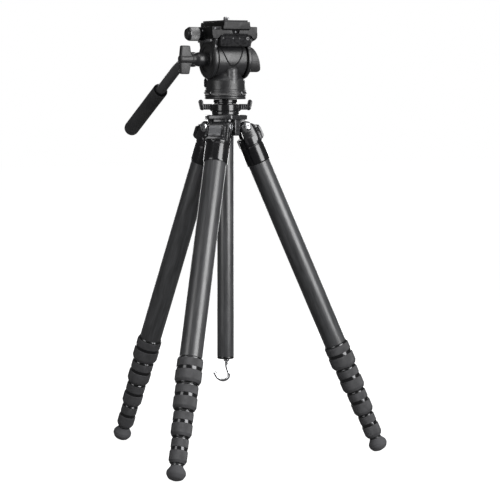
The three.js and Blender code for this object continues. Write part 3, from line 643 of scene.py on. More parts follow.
@dataclass(frozen=True)
class WoundCarbon(Finish):
    """Resin-bound carbon tube with wavy lengthwise fibres under a semi-gloss skin."""

    fibre_lift: float = 2.1
    weave_pitch: float = 0.55

    def sockets(self, wires: Wiring, place: bpy.types.NodeSocket) -> dict[str, Value]:
        """Dark resin with lighter fibres and a clear skin."""
        broad = wires.effect(EFFECTS.streaks, Place=place, Across=0.16, Along=0.012, Wave=1.6)
        fine = wires.effect(EFFECTS.streaks, Place=place, Across=1.1, Along=0.03, Wave=0.8)
        grain = wires.effect(EFFECTS.grain, Place=place, Scale=self.weave_pitch)
        smudge = wires.effect(EFFECTS.smudges, Place=place, Scale=0.02)
        mix = wires.sum(
            "ADD", wires.sum("MULTIPLY", broad.outputs["Mask"], 0.55),
            wires.sum("MULTIPLY", fine.outputs["Mask"], 0.45)
        )
        height = wires.sum(
            "ADD", fine.outputs["Height"], wires.sum("MULTIPLY", grain.outputs["Height"], 0.4)
        )
        return {
            "Base Color": wires.tint(
                mix, shade(self.colour, 0.55), shade(self.colour, self.fibre_lift)
            ),
            "Roughness": wires.spread(
                smudge.outputs["Mask"], 0.0, 1.0, self.roughness - 0.05, self.roughness + 0.07
            ),
            "Normal": self.relief(wires, height, 0.05),
            "Coat Weight": 0.35,
            "Coat Roughness": 0.22,
        }


@dataclass(frozen=True)
class GlossCasting(Finish):
    """Polished and black-anodised casting."""

    metallic: float = 0.35
    coat: float = 0.6
    wear: float = 0.5

    def sockets(self, wires: Wiring, place: bpy.types.NodeSocket) -> dict[str, Value]:
        """Near-black gloss with faint casting waves, smudges and rubbed edges."""
        grain = wires.effect(EFFECTS.grain, Place=place, Scale=0.9)
        wave = wires.effect(EFFECTS.grain, Place=place, Scale=0.12)
        smudge = wires.effect(EFFECTS.smudges, Place=place, Scale=0.05)
        wear = wires.effect(EFFECTS.wear, Place=place, Amount=self.wear, Patch=0.3)
        height = wires.sum(
            "ADD", wires.sum("MULTIPLY", grain.outputs["Height"], 0.35), wave.outputs["Height"]
        )
        return {
            "Base Color": wires.tint(
                wear.outputs["Mask"], shade(self.colour), shade((0.22, 0.22, 0.23))
            ),
            "Metallic": self.metallic,
            "Roughness": wires.spread(
                smudge.outputs["Mask"], 0.0, 1.0, self.roughness - 0.04, self.roughness + 0.08
            ),
            "Normal": self.relief(wires, height, 0.03),
            "Coat Weight": self.coat,
            "Coat Roughness": 0.12,
        }


@dataclass(frozen=True)
class SatinPaint(Finish):
    """Fine satin black paint on a machined casting."""

    texture: float = 0.05
    wear: float = 0.6
    gloss: float = 0.5

    def sockets(self, wires: Wiring, place: bpy.types.NodeSocket) -> dict[str, Value]:
        """Fine paint texture, soft smudges and rubbed edges that show metal."""
        grain = wires.effect(EFFECTS.grain, Place=place, Scale=2.4)
        smudge = wires.effect(EFFECTS.smudges, Place=place, Scale=0.045)
        wear = wires.effect(EFFECTS.wear, Place=place, Amount=self.wear, Patch=0.35)
        speckle = wires.tint(grain.outputs["Mask"], shade(self.colour, 0.85), shade(self.colour, 1.25))
        return {
            "Base Color": wires.tint(wear.outputs["Mask"], speckle, shade((0.28, 0.28, 0.29))),
            "Metallic": wires.sum("MULTIPLY", wear.outputs["Mask"], 0.7),
            "Roughness": wires.spread(
                smudge.outputs["Mask"], 0.0, 1.0, self.roughness - 0.05, self.roughness + 0.08
            ),
            "Normal": self.relief(wires, grain.outputs["Height"], self.texture),
            "Specular IOR Level": self.gloss,
        }


@dataclass(frozen=True)
class Rubber(Finish):
    """Matt moulded rubber."""

    bloom: float = 1.6
    texture: float = 0.08
    # Number of grooves round the axis that get painted shade; 0 paints none.
    lines: float = 0.0

    def sockets(self, wires: Wiring, place: bpy.types.NodeSocket) -> dict[str, Value]:
        """Moulded texture with a paler bloom and, when a count of lines is set, painted shade that
        darkens the grooves between its ribs.
        """
        grain = wires.effect(EFFECTS.grain, Place=place, Scale=1.6)
        bloom = wires.effect(EFFECTS.smudges, Place=place, Scale=0.07)
        wear = wires.effect(EFFECTS.wear, Place=place, Amount=0.5, Patch=0.4)
        base = wires.tint(
            bloom.outputs["Mask"], shade(self.colour, 0.85), shade(self.colour, self.bloom)
        )
        if self.lines:
            # Painted shade: the colour drops to 0.4 of itself in the grooves between ribs.
            ribs = wires.effect(EFFECTS.ribs, Place=place, Count=self.lines)
            base = wires.tint(
                wires.sum("MULTIPLY", ribs.outputs["Mask"], 0.5), base, shade(self.colour, 0.4)
            )
        return {
            "Base Color": wires.tint(wear.outputs["Mask"], base, shade(self.colour, 2.4)),
            "Roughness": wires.spread(
                grain.outputs["Mask"], 0.0, 1.0, self.roughness - 0.06, self.roughness + 0.06
            ),
            "Normal": self.relief(wires, grain.outputs["Height"], self.texture),
        }


@dataclass(frozen=True)
class BrushedMetal(Finish):
    """Bare or anodised metal with a fine drawn grain."""

    grain_along: float = 0.05
    grain_across: float = 2.2
    depth: float = 0.02

    def sockets(self, wires: Wiring, place: bpy.types.NodeSocket) -> dict[str, Value]:
        """Drawn grain, smudges and bright edges."""
        drawn = wires.effect(
            EFFECTS.streaks, Place=place, Across=self.grain_across, Along=self.grain_along, Wave=0.2
        )
        smudge = wires.effect(EFFECTS.smudges, Place=place, Scale=0.08)
        wear = wires.effect(EFFECTS.wear, Place=place, Amount=0.8, Patch=0.4)
        base = wires.tint(drawn.outputs["Mask"], shade(self.colour, 0.82), shade(self.colour, 1.15))
        return {
            "Base Color": wires.tint(wear.outputs["Mask"], base, shade(self.colour, 1.7)),
            "Metallic": 0.85,
            "Roughness": wires.spread(
                smudge.outputs["Mask"], 0.0, 1.0, self.roughness - 0.05, self.roughness + 0.08
            ),
            "Normal": self.relief(wires, drawn.outputs["Height"], self.depth),
        }


@dataclass(frozen=True)
class PolishedSteel(Finish):
    """Bright plated steel."""

    def sockets(self, wires: Wiring, place: bpy.types.NodeSocket) -> dict[str, Value]:
        """Mirror plate with faint polishing marks and fingerprints."""
        marks = wires.effect(EFFECTS.grain, Place=place, Scale=3.0)
        smudge = wires.effect(EFFECTS.smudges, Place=place, Scale=0.2)
        return {
            "Base Color": wires.tint(
                smudge.outputs["Mask"], shade(self.colour), shade(self.colour, 0.85)
            ),
            "Metallic": 1.0,
            "Roughness": wires.spread(
                smudge.outputs["Mask"], 0.0, 1.0, self.roughness, self.roughness + 0.1
            ),
            "Normal": self.relief(wires, marks.outputs["Height"], 0.008),
        }


@dataclass(frozen=True)
class Foam(Finish):
    """Closed-cell foam sleeve."""

    def sockets(self, wires: Wiring, place: bpy.types.NodeSocket) -> dict[str, Value]:
        """Small open cells on a dull skin with paler rubbed patches."""
        cells = wires.add("TexVoronoi", {"Vector": place, "Scale": 1.1}, feature="F1")
        grain = wires.effect(EFFECTS.grain, Place=place, Scale=2.0)
        rubbed = wires.effect(EFFECTS.smudges, Place=place, Scale=0.03)
        height = wires.sum(
            "ADD", cells.outputs["Distance"], wires.sum("MULTIPLY", grain.outputs["Height"], 0.6)
        )
        return {
            "Base Color": wires.tint(
                rubbed.outputs["Mask"], shade(self.colour, 0.8), shade(self.colour, 1.5)
            ),
            "Roughness": wires.spread(
                grain.outputs["Mask"], 0.0, 1.0, self.roughness - 0.08, self.roughness
            ),
            "Normal": self.relief(wires, height, 0.25),
            "Specular IOR Level": 0.3,
        }


CARBON = WoundCarbon("wound_carbon", Slot.CARBON, (0.03, 0.0305, 0.032), 0.36)
CASTING = GlossCasting("gloss_black_casting", Slot.CAST_BLACK, (0.008, 0.008, 0.009), 0.2)
LOCK_METAL = GlossCasting(
    "lock_collar_anodised", Slot.CAST_BLACK, (0.03, 0.03, 0.032), 0.16, metallic=0.8, wear=0.3
)
HEAD_PAINT = SatinPaint("satin_black_paint", Slot.HEAD_BLACK, (0.014, 0.014, 0.015), 0.34)
BAR_PAINT = SatinPaint("bar_satin_black", Slot.HEAD_BLACK, (0.045, 0.045, 0.046), 0.42)
# Near-black paint with almost no gloss. It is the own colour of the grip ring, the tilt washer and the
# drum line, and painted shade on the spanner-hole discs, the skirt screw rims and the receiver's end
# strips; on the platform block it is partly the block's black and partly painted shade of the
# receiver's shadow.
BLACK_AND_SHADE_PAINT = SatinPaint(
    "matt_black_and_painted_shade", Slot.HEAD_BLACK, (0.003, 0.003, 0.0035), 0.75, wear=0.15, gloss=0.06
)
GRIP_RUBBER = Rubber("ribbed_grip_rubber", Slot.GRIP_RUBBER, (0.032, 0.032, 0.034), 0.66)
FOOT_RUBBER = Rubber(
    "foot_rubber", Slot.FOOT_RUBBER, (0.036, 0.037, 0.04), 0.8, bloom=1.3, texture=0.12
)
PAD_RUBBER = Rubber("plate_pad_rubber", Slot.GRIP_RUBBER, (0.012, 0.012, 0.013), 0.78)
ZINC = SatinPaint("zinc_plate", Slot.CHROME, (0.55, 0.55, 0.56), 0.35)
STEEL = PolishedSteel("plain_steel", Slot.CHROME, (0.3, 0.3, 0.31), 0.3)
CHROME = PolishedSteel("bright_steel", Slot.CHROME, (0.78, 0.79, 0.81), 0.12)
GREY_ALLOY = BrushedMetal("grey_anodised", Slot.GREY_ALLOY, (0.019, 0.019, 0.0193), 0.44)
TAB_ALLOY = BrushedMetal("tab_grey", Slot.GREY_ALLOY, (0.16, 0.162, 0.168), 0.48)
SILVER_ALLOY = BrushedMetal("silver_anodised", Slot.SILVER_ALLOY, (0.2, 0.2, 0.202), 0.62)
KNOB_PLASTIC = Rubber(
    "grey_moulded_nylon", Slot.KNOB_PLASTIC, (0.017, 0.017, 0.0175), 0.48, bloom=1.25, texture=0.05
)
RIB_PLASTIC = Rubber(
    "ribbed_grey_nylon", Slot.KNOB_PLASTIC, (0.026, 0.026, 0.0268), 0.5, bloom=1.2, texture=0.05
)
FOAM = Foam("foam_sleeve", Slot.FOAM, (0.027, 0.027, 0.028), 0.94)


# ---------------------------------------------------------------------------
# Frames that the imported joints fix
# ---------------------------------------------------------------------------
def joint(name: str) -> dict:
    """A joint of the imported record."""
    return next(row for row in frame["joints"] if row["name"] == name)


def upright(joint_name: str) -> Matrix:
    """An unturned millimetre frame whose origin is a joint's place."""
    return Matrix.Translation(joint(joint_name)["pos_m"]) @ Matrix.Scale(MM, 4)


def leg_frame(name: str) -> Matrix:
    """A leg's millimetre frame: hinge pin along Y, leg down along -Z, +X away from the column.

    Args:
        name: The leg's name.

    Returns:
        The matrix from the leg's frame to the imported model's.
    """
    pivot = Vector(joint(f"leg_{name}_fold")["pos_m"])
    column = Vector(joint("head_pan")["pos_m"])
    up = -Vector(joint(f"leg_{name}_section_2_slide")["axis"]).normalized()
    away = Vector((pivot.x - column.x, pivot.y - column.y, 0))
    across = up.cross(away).normalized()
    out = across.cross(up)
    turn = Matrix((out, across, up)).transposed().to_4x4()
    return Matrix.Translation(pivot) @ turn @ Matrix.Scale(MM, 4)


@dataclass
class SubAssembly:
    """Pieces that are drawn in one millimetre frame."""

    place: Matrix

    def fit(
        self, form: Form, name: str, body: str, finish: Finish, *replaced: str, crease: float = 33.0
    ) -> bpy.types.Object:
        """Finishes a shape: puts it in place, gives it its surface and fixes it to its body.

        Args:
            form: The shape, which is used up.
            name: The piece's name.
            body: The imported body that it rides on.
            finish: Its surface.
            replaced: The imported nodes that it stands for.
            crease: Edges that turn by more degrees than this stay sharp.

        Returns:
            The finished piece.
        """
        layer = form.mesh.verts.layers.float_vector.new(LOCAL)
        for vert in form.mesh.verts:
            vert[layer] = vert.co
        bmesh.ops.transform(form.mesh, matrix=self.place, verts=form.mesh.verts)
        mesh = form.as_mesh(name)
        mesh.shade_smooth()
        mesh.set_sharp_from_angle(angle=math.radians(crease))
        mesh.materials.append(finish.material())
        piece = bpy.data.objects.new(name, mesh)
        bpy.context.scene.collection.objects.link(piece)
        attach(piece, body)
        if replaced:
            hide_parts(*replaced)
        log.info("%s: %d faces", name, len(mesh.polygons))
        return piece


def set_screw(radius: float, height: float) -> Form:
    """A small screw with a six-sided socket, standing on the plane Z = 0.

    Args:
        radius: The screw's radius.
        height: How far it stands up.

    Returns:
        The screw.
    """
    screw = Form.turned(
        [(0, -1.0), (radius, -1.0), (radius, height, radius * 0.3), (0, height)], SMALL_STEPS
    )
    socket = Form.slab(arc((0, 0), radius * 0.5, 0, 300, 5), height * 0.3 - 0.5, height + 1)
    return screw.carved(socket)


# ---------------------------------------------------------------------------
# Legs
# ---------------------------------------------------------------------------
@dataclass
class Leg(SubAssembly):
    """One leg: casting, hinge pin, angle tab, nested tubes, twist locks and foot."""

    name: str = "front"
    tube_radii: tuple[float, ...] = (16.0, 14.0, 12.0, 10.0, 8.0)
    last_wall: float = 1.3
    tube_top: float = 32.0
    nest_step: float = 6.0
    first_lock: float = 345.2
    lock_pitch: float = 38.0
    lock_seat: float = 16.0
    upper_band: float = 2.2
    lower_band: float = 2.7
    rib_pitch: float = 1.55
    foot_radius: float = 13.5
    foot_length: float = 22.3
    foot_neck: float = 1.5
    ear_radius: float = 8.7
    ear_inner: float = 10.0
    ear_outer: float = 16.5
    pin_radius: float = 3.0
    pin_head: float = 6.7
    pin_head_thick: float = 1.7
    casting_radius: float = 17.5
    casting_top: float = 14.5
    casting_end: float = 55.5
    tab_width: float = 18.2
    tab_height: float = 15.0
    tab_top: float = -6.0
    tab_face: float = 17.8
    tab_thick: float = 2.6
    frame_width: float = 28.6
    rail_width: float = 3.3
    relief_radius: float = 12.5
    column_gap: float = 27.3
    closed_lean: float = 4.5

    def casting(self) -> None:
        """The casting that holds the main tube and turns on the hinge pin."""
        radius = self.casting_radius
        bore = self.tube_radii[0] + FIT
        end = -self.casting_end
        socket = Form.turned([
            (0, -self.tube_top + FIT),
            (bore, -self.tube_top + FIT),
            (bore, end),
            (bore + 0.7, end, 0.3),
            (radius, end + 1.8, 0.5),
            (radius, -29.4, 0.9),
            (radius - 0.7, -28.5, 0.3),
            (radius - 0.7, -27.5, 0.3),
            (radius + 0.1, -26.8, 0.6),
            (radius + 0.1, -self.casting_top, 2.2),
            (0, -self.casting_top),
        ], FINE_STEPS)
        scoop = Form.turned([(0, -8), (5, -6.5, 3), (8, 0, 6), (5, 6.5, 3), (0, 8)], SMALL_STEPS)
        socket.carved(scoop.facing(Heading.RIGHT).moved(radius + 6, 0, -25.5))
        reach = self.ear_radius + 1.6
        ear = [
            *arc((0, 0), self.ear_radius, 0, 180, 24),
            (-reach, -18.0, 6),
            (-reach + 1.2, -25.5, 4),
            (reach - 1.2, -25.5, 4),
            (reach, -18.0, 6),
        ]
        ears = [
            Form.slab(ear, *sorted((side * self.ear_inner, side * self.ear_outer)), Plane.XZ, 1.3)
            for side in (-1, 1)
        ]
        half = self.frame_width / 2
        wall_face = self.tab_face - 0.4
        high, low = self.tab_top + 1.0, self.tab_top - self.tab_height - 3.5
        wall = Form.block((reach - 0.6, -half + 1, low), (wall_face, half - 1, high), 0.8)
        shoulder = Form.slab([
            (reach - 0.6, high - 8), (wall_face - 1, high - 8), (wall_face - 1, high + 0.5, 1.5),
            (reach - 0.6, 2.5),
        ], -half + 1, half - 1, Plane.XZ, 0.8)
        rails = [
            Form.slab([
                (wall_face - 2, low + 0.5, 1), (wall_face + 2.4, low + 3, 1.5),
                (wall_face + 2.4, high - 2, 2.5),
                (wall_face - 2, high, 1),
            ], near, near + self.rail_width, Plane.XZ, 0.9)
            for near in (-half, half - self.rail_width)
        ]
        relief = Form.turned([
            (0, -self.casting_end - 1),
            (self.relief_radius, -self.casting_end - 1),
            (self.relief_radius, -self.casting_top + 1),
            (0, -self.casting_top + 1),
        ], FINE_STEPS)
        relief.moved(-self.column_gap).rotated(self.closed_lean, "Y")
        casting = socket.carved(relief).joined(*ears, wall, shoulder, *rails)
        self.fit(casting, f"casting_{self.name}", f"leg_{self.name}", CASTING,
                 f"leg_{self.name}_casting")
        screw = set_screw(1.7, 0.5).facing(Heading.RIGHT).moved(radius, 0, -18)
        self.fit(screw.rotated(-155), f"casting_screw_{self.name}", f"leg_{self.name}", CHROME)

    def hinge_pin(self) -> None:
        """The hinge pin with a domed head at each end and three spanner holes in each head, each hole
        darkened at its bottom by a disc of painted shade.
        """
        neck = self.ear_outer + FIT
        end = neck + self.pin_head_thick
        head = self.pin_head
        pin = Form.turned([
            (0, -end - 0.5), (head * 0.6, -end - 0.3, 1.5), (head, -end + 1.0, 0.7), (head, -neck),
            (self.pin_radius, -neck),
            (self.pin_radius, neck), (head, neck), (head, end - 1.0, 0.7), (head * 0.6, end + 0.3, 1.5),
            (0, end + 0.5),
        ], 48)
        hole_shade_discs = Form()
        for side in (-1, 1):
            for turn in (90, 210, 330):
                x = 3.6 * math.cos(math.radians(turn))
                y = 3.6 * math.sin(math.radians(turn))
                hole = Form.turned([(0, -1.2), (1.45, -1.2), (1.45, 1.5), (0, 1.5)], 20)
                pin.carved(hole.moved(x, y, side * end))
                # A dark disc at the bottom of each hole: painted shade in the hole.
                hole_shade_disc = Form.turned([(0, -0.5), (1.4, -0.5), (1.4, 0), (0, 0)], 20)
                hole_shade_discs.joined(hole_shade_disc.moved(x, y, side * (end - 0.75) + (0.25 if side < 0 else 0)))
        washers = Form.turned(
            [
                (self.pin_radius, neck - 0.6), (head + 1.0, neck - 0.6, 0.3),
                (head + 1.0, neck + 0.2, 0.2), (self.pin_radius, neck + 0.2)
            ], 48
        )
        washers.joined(washers.copied().mirrored("Z"))
        self.fit(
            pin.facing(Heading.BACK), f"hinge_pin_{self.name}", "spider", CHROME,
            f"leg_{self.name}_hinge_pin"
        )
        self.fit(hole_shade_discs.facing(Heading.BACK), f"hinge_pin_hole_shade_{self.name}", "spider", BLACK_AND_SHADE_PAINT)
        self.fit(washers.facing(Heading.BACK), f"hinge_pin_washers_{self.name}", "spider", CASTING)

    def angle_tab(self) -> None:
        """The sprung tab that stops the leg, finely ribbed and notched in its lower lip."""
        top = self.tab_top
        bottom = top - self.tab_height
        out = self.tab_face + self.tab_thick
        ribs: list[Corner] = []
        pitch = 1.15
        height = bottom + 3.6
        while height < top - 2.4:
            ribs += [
                (out, height), (out, height + pitch * 0.45), (out - 0.35, height + pitch * 0.6),
                (out - 0.35, height + pitch * 0.9)
            ]
            height += pitch
        outline = [
            (self.tab_face, bottom), (out + 0.7, bottom, 0.6), (out + 0.7, bottom + 2.2, 0.6),
            (out, bottom + 3.2, 0.3),
            *ribs, (out, top - 1.4, 0.2), (out - 0.4, top + 0.3, 0.8), (self.tab_face, top + 0.3),
        ]
        half = self.tab_width / 2
        tab = Form.slab(outline, -half, half, Plane.XZ)
        middle = (top + bottom) / 2 + 0.15
        mask = [
            (y, z + middle, r)
            for y, z, r in rectangle(self.tab_width - 0.1, self.tab_height + 0.5, 2.6)
        ]
        tab.trimmed(Form.slab(mask, self.tab_face - 1, out + 3, Plane.YZ))
        notch = [(y, z + bottom, r) for y, z, r in rectangle(5.0, 3.0, 1.2)]
        tab.carved(Form.slab(notch, out - 0.6, out + 3, Plane.YZ))
        self.fit(
            tab, f"angle_tab_{self.name}", f"leg_{self.name}_tab", TAB_ALLOY,
            f"leg_{self.name}_angle_tab", crease=25
        )
        lip = Form.block((out - 2.3, -half - 1.0, top + 0.4), (out - 0.5, half + 1.0, top + 1.6), 0.5)
        self.fit(lip, f"angle_tab_edge_{self.name}", f"leg_{self.name}_tab", SILVER_ALLOY)

    def body_of_section(self, number: int) -> str:
        """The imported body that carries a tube, from 0 for the main one."""
        return f"leg_{self.name}" if number == 0 else f"leg_{self.name}_section_{number + 1}"

    def tubes(self) -> None:
        """The nested carbon tubes."""
        for number, outer in enumerate(self.tube_radii):
            last = number == len(self.tube_radii) - 1
            inner = outer - self.last_wall if last else self.tube_radii[number + 1] + FIT
            top = -(self.tube_top + number * self.nest_step)
            seat = self.foot_neck if last else self.lock_seat
            bottom = -(self.first_lock + number * self.lock_pitch + seat) + FIT
            tube = Form.turned(
                [(inner, bottom), (outer, bottom, 0.3), (outer, top, 0.3), (inner, top)], FINE_STEPS
            )
            self.fit(tube, f"tube_{self.name}_{number + 1}", self.body_of_section(number), CARBON,
                     f"leg_{self.name}_tube_{number + 1}")

    def grip_band(
        self, radius: float, inner: float, top: float, bottom: float, skirt: Optional[Corner]
    ) -> Form:
        """One ribbed rubber band of a lock.

        Args:
            radius: Its outer radius.
            inner: Its inner radius.
            top: Height of its top edge.
            bottom: Height of the lower end of its ribs.
            skirt: Radius and height of the bottom of the slope below the ribs, or None.

        Returns:
            The band.
        """
        count = round(2 * math.pi * radius / self.rib_pitch)
        outline: list[Corner] = [
            (inner, top), (radius - 0.4, top, 0.2), (radius, top - 0.7, 0.3),
            (radius, bottom + 0.7, 0.3)
        ]
        if skirt:
            outline += [(radius - 0.3, bottom, 0.3), (skirt[0], skirt[1], 0.5), (inner, skirt[1])]
        else:
            outline += [(radius - 0.4, bottom, 0.2), (inner, bottom)]
        band = Form.turned(outline, 4 * count)
        return band.ribbed(count, 0.32, bottom + 0.05, top - 0.45, radius - 0.2)

    def locks(self) -> None:
        """The twist locks: a bright collar with two rubber bands, one at the end of each tube."""
        for number in range(len(self.tube_radii) - 1):
            tube = self.tube_radii[number]
            following = self.tube_radii[number + 1]
            top = -(self.first_lock + number * self.lock_pitch)
            end = top - self.lock_pitch + 2 * FIT
            collar = Form.turned([
                (tube + FIT, top), (tube + 0.8, top, 0.2), (tube + 1.7, top - 1.5, 0.4),
                (tube + 1.7, top - 3.4, 0.2),
                (tube + 1.2, top - 3.6), (tube + 1.2, top - 13.4), (tube + 1.6, top - 14.2, 0.5),
                (tube + 1.6, top - 19.0, 0.5),
                (tube + 1.2, top - 19.8), (tube + 1.2, end + 4.5), (following + 2.1, end + 1.8, 0.4),
                (following + 1.6, end, 0.3),
                (following + FIT, end), (following + FIT, top - self.lock_seat),
                (tube + FIT, top - self.lock_seat),
            ], FINE_STEPS)
            body = f"leg_{self.name}_lock_{number + 1}"
            label = f"{self.name}_{number + 1}"
            self.fit(collar, f"lock_collar_{label}", body, LOCK_METAL, body)
            upper = self.grip_band(tube + self.upper_band, tube + 1.0, top - 2.7, top - 14.2, None)
            slope = (following + 2.6, end + 0.9)
            lower = self.grip_band(
                tube + self.lower_band, following + 1.2, top - 18.9, end + 4.6, slope
            )
            self.fit(upper.joined(lower), f"lock_bands_{label}", body, GRIP_RUBBER)

    def foot(self) -> None:
        """The rubber foot with its neck ring and a moulding line."""
        tube = self.tube_radii[-1]
        top = -(self.first_lock + (len(self.tube_radii) - 1) * self.lock_pitch)
        end = top - self.foot_length
        radius = self.foot_radius
        foot = Form.turned([
            (0, end), (radius * 0.28, end + 0.3, 1.5), (radius * 0.76, end + 2.6, 2.5),
            (radius, end + 8.2, 1.6),
            (radius + 0.25, end + 10.6, 0.3), (radius, end + 11.0, 0.3), (radius, end + 13.2, 1.6),
            (tube + 1.3, top - self.foot_neck - 1.6, 1.2), (tube + 0.6, top - self.foot_neck, 0.4),
            (tube - self.last_wall - FIT, top - self.foot_neck), (tube - self.last_wall - FIT, top + 7),
            (0, top + 7),
        ])
        body = self.body_of_section(len(self.tube_radii) - 1)
        self.fit(foot, f"foot_{self.name}", body, FOOT_RUBBER, f"leg_{self.name}_foot")
        ring = Form.turned(
            [
                (tube, top - 1.7), (tube + 0.75, top - 1.7, 0.2), (tube + 0.75, top - 0.5, 0.2),
                (tube, top - 0.5)
            ]
        )
        self.fit(ring, f"foot_ring_{self.name}", body, LOCK_METAL)

    def build(self) -> None:
        """Builds every piece of the leg."""
        self.casting()
        self.hinge_pin()
        self.angle_tab()
        self.tubes()
        self.locks()
        self.foot()


# ---------------------------------------------------------------------------
# Spider and column
# ---------------------------------------------------------------------------
@dataclass
class Column(SubAssembly):
    """Spider, wing collar, centre column, top plate and hook, in heights above the hinge pins."""

    first_leg_azimuth: float = -134.0
    wing_azimuth: float = -27.0
    column_radius: float = 12.0
    core_radius: float = 18.0
    hub_radius: float = 20.0
    pivot_radius: float = 27.3
    flange_bottom: float = 11.0
    flange_top: float = 17.5
    flange_over_pin: float = 1.7
    flange_gap_reach: float = 29.5
    hub_top: float = 22.5
    collar_bottom: float = 22.8
    collar_top: float = 33.2
    wing_reach: float = 38.9
    plate_radius: float = 17.5
    plate_top: float = 39.8
    column_end: float = -334.6
    hook_cap: float = 3.2
    hook_wire: float = 2.0
    fin_round: float = 3.5

    def leg_azimuths(self) -> list[float]:
        """Azimuths of the three legs in degrees."""
        return [self.first_leg_azimuth + 120 * number for number in range(3)]

    def flange_outline(self) -> list[Corner]:
        """Six-sided outline with a long side over each leg and one over each gap."""
        over_leg = self.pivot_radius + self.flange_over_pin
        share = (self.flange_gap_reach - over_leg / 2) / math.sin(math.radians(60))
        outline: list[Corner] = []
        for azimuth in self.leg_azimuths():
            turn = math.radians(azimuth)
            for side in (-share, share):
                outline.append((
                    over_leg * math.cos(turn) - side * math.sin(turn),
                    over_leg * math.sin(turn) + side * math.cos(turn),
                    3.5,
                ))
        return outline

    def spider(self) -> None:
        """The spider: flange, hub and core round the column, with three lugs for the legs."""
        bore = self.column_radius + FIT
        core = Form.turned([
            (bore, -12), (self.core_radius - 0.8, -12, 0.5), (self.core_radius, -11, 0.6),
            (self.core_radius, 12), (bore, 12),
        ], FINE_STEPS)
        hub = Form.turned([
            (bore, 16), (self.hub_radius + 1.5, 16), (self.hub_radius + 1.5, 17.6, 0.8),
            (self.hub_radius, 18.6, 1.2),
            (self.hub_radius, self.hub_top, 0.7), (bore, self.hub_top),
        ], FINE_STEPS)
        flange = Form.slab(self.flange_outline(), self.flange_bottom, self.flange_top, Plane.XY, 1.3)
        lugs = Form()
        for azimuth in self.leg_azimuths():
            knuckle = Form.turned([(0, -9.6), (8.5, -9.6, 0.8), (8.5, 9.6, 0.8), (0, 9.6)], 48)
            knuckle.facing(Heading.BACK).moved(self.pivot_radius)
            root = Form.block((12, -9.6, -8.4), (self.pivot_radius, 9.6, 12), 1.0)
            lugs.joined(knuckle.joined(root).rotated(azimuth))
            web = Form.block((14, -5, -12), (26, 5, 12), 1.2)
            lugs.joined(web.rotated(azimuth + 60))
        self.fit(core.joined(hub, flange, lugs), "spider_casting", "spider", CASTING, "spider")

    def collar(self) -> None:
        """The wing collar that locks the column."""
        bore = self.column_radius + FIT
        ring = Form.turned([
            (bore, self.collar_bottom), (self.hub_radius - 0.6, self.collar_bottom, 0.4),
            (self.hub_radius, self.collar_bottom + 0.9, 0.6),
            (self.hub_radius, self.collar_top - 1.1, 0.8),
            (self.hub_radius - 1.0, self.collar_top, 0.6), (bore, self.collar_top),
        ], FINE_STEPS)
        low = self.collar_top - 8.2
        tip = self.wing_reach - 2.9
        arm = Form.block((16, -3.9, low), (tip, 3.9, self.collar_top), 1.0)
        for x in (22.6, 25.4, 28.2, 31.0):
            arm.joined(Form.block((x, -4.6, low + 0.4), (x + 1.3, 4.6, self.collar_top - 0.4), 0.55))
        arm.joined(Form.slab([
            (14, low - 2.5), (self.hub_radius + 0.6, low - 2.5, 2), (self.hub_radius + 3, low + 1.0, 2),
            (14, low + 1.0),
        ], -3.2, 3.2, Plane.XZ, 0.9))
        fin = [
            *arc((tip - 0.6, self.collar_top + 2.9), self.fin_round, 0, 180),
            *arc((tip - 2.6, low + 2.7), self.fin_round, 180, 360)
        ]
        arm.joined(Form.slab(fin, -6, 6, Plane.XZ, 1.5))
        inlay = [
            *arc((tip - 0.6, self.collar_top + 2.6), 1.2, 0, 180, 8),
            *arc((tip - 2.4, low + 3.4), 1.2, 180, 360, 8)
        ]
        arm.joined(Form.slab(inlay, -6.3, 6.3, Plane.XZ, 0.3))
        wings = arm.joined(arm.copied().rotated(180)).rotated(self.wing_azimuth)
        self.fit(ring.joined(wings), "wing_collar", "column_lock_collar", CASTING, "column_lock_collar")

    def tube(self) -> None:
        """The centre column."""
        bottom = self.column_end + self.hook_cap + FIT
        radius = self.column_radius
        tube = Form.turned([
            (radius - 1.4, bottom), (radius, bottom, 0.3), (radius, self.collar_top, 0.2),
            (radius - 1.4, self.collar_top),
        ], FINE_STEPS)
        self.fit(tube, "centre_column", "column", CARBON, "column_tube")

    def top_plate(self, stud_top: float = 45.3) -> None:
        """The plate that carries the head, with its stud.

        Args:
            stud_top: Height of the stud's end inside the head base.
        """
        bottom = self.collar_top + FIT
        radius = self.plate_radius
        plate = Form.turned([
            (0, self.collar_top - 14), (10.1, self.collar_top - 14, 0.4), (10.1, bottom),
            (radius - 0.9, bottom, 0.3),
            (radius - 0.9, bottom + 1.8, 0.3), (radius, bottom + 2.3, 0.3),
            (radius, self.plate_top - 0.7, 0.6),
            (radius - 0.8, self.plate_top, 0.4), (4.7, self.plate_top), (4.7, stud_top, 0.5),
            (0, stud_top),
        ], FINE_STEPS)
        self.fit(plate, "column_top_disc", "column", CASTING, "column_top_plate")

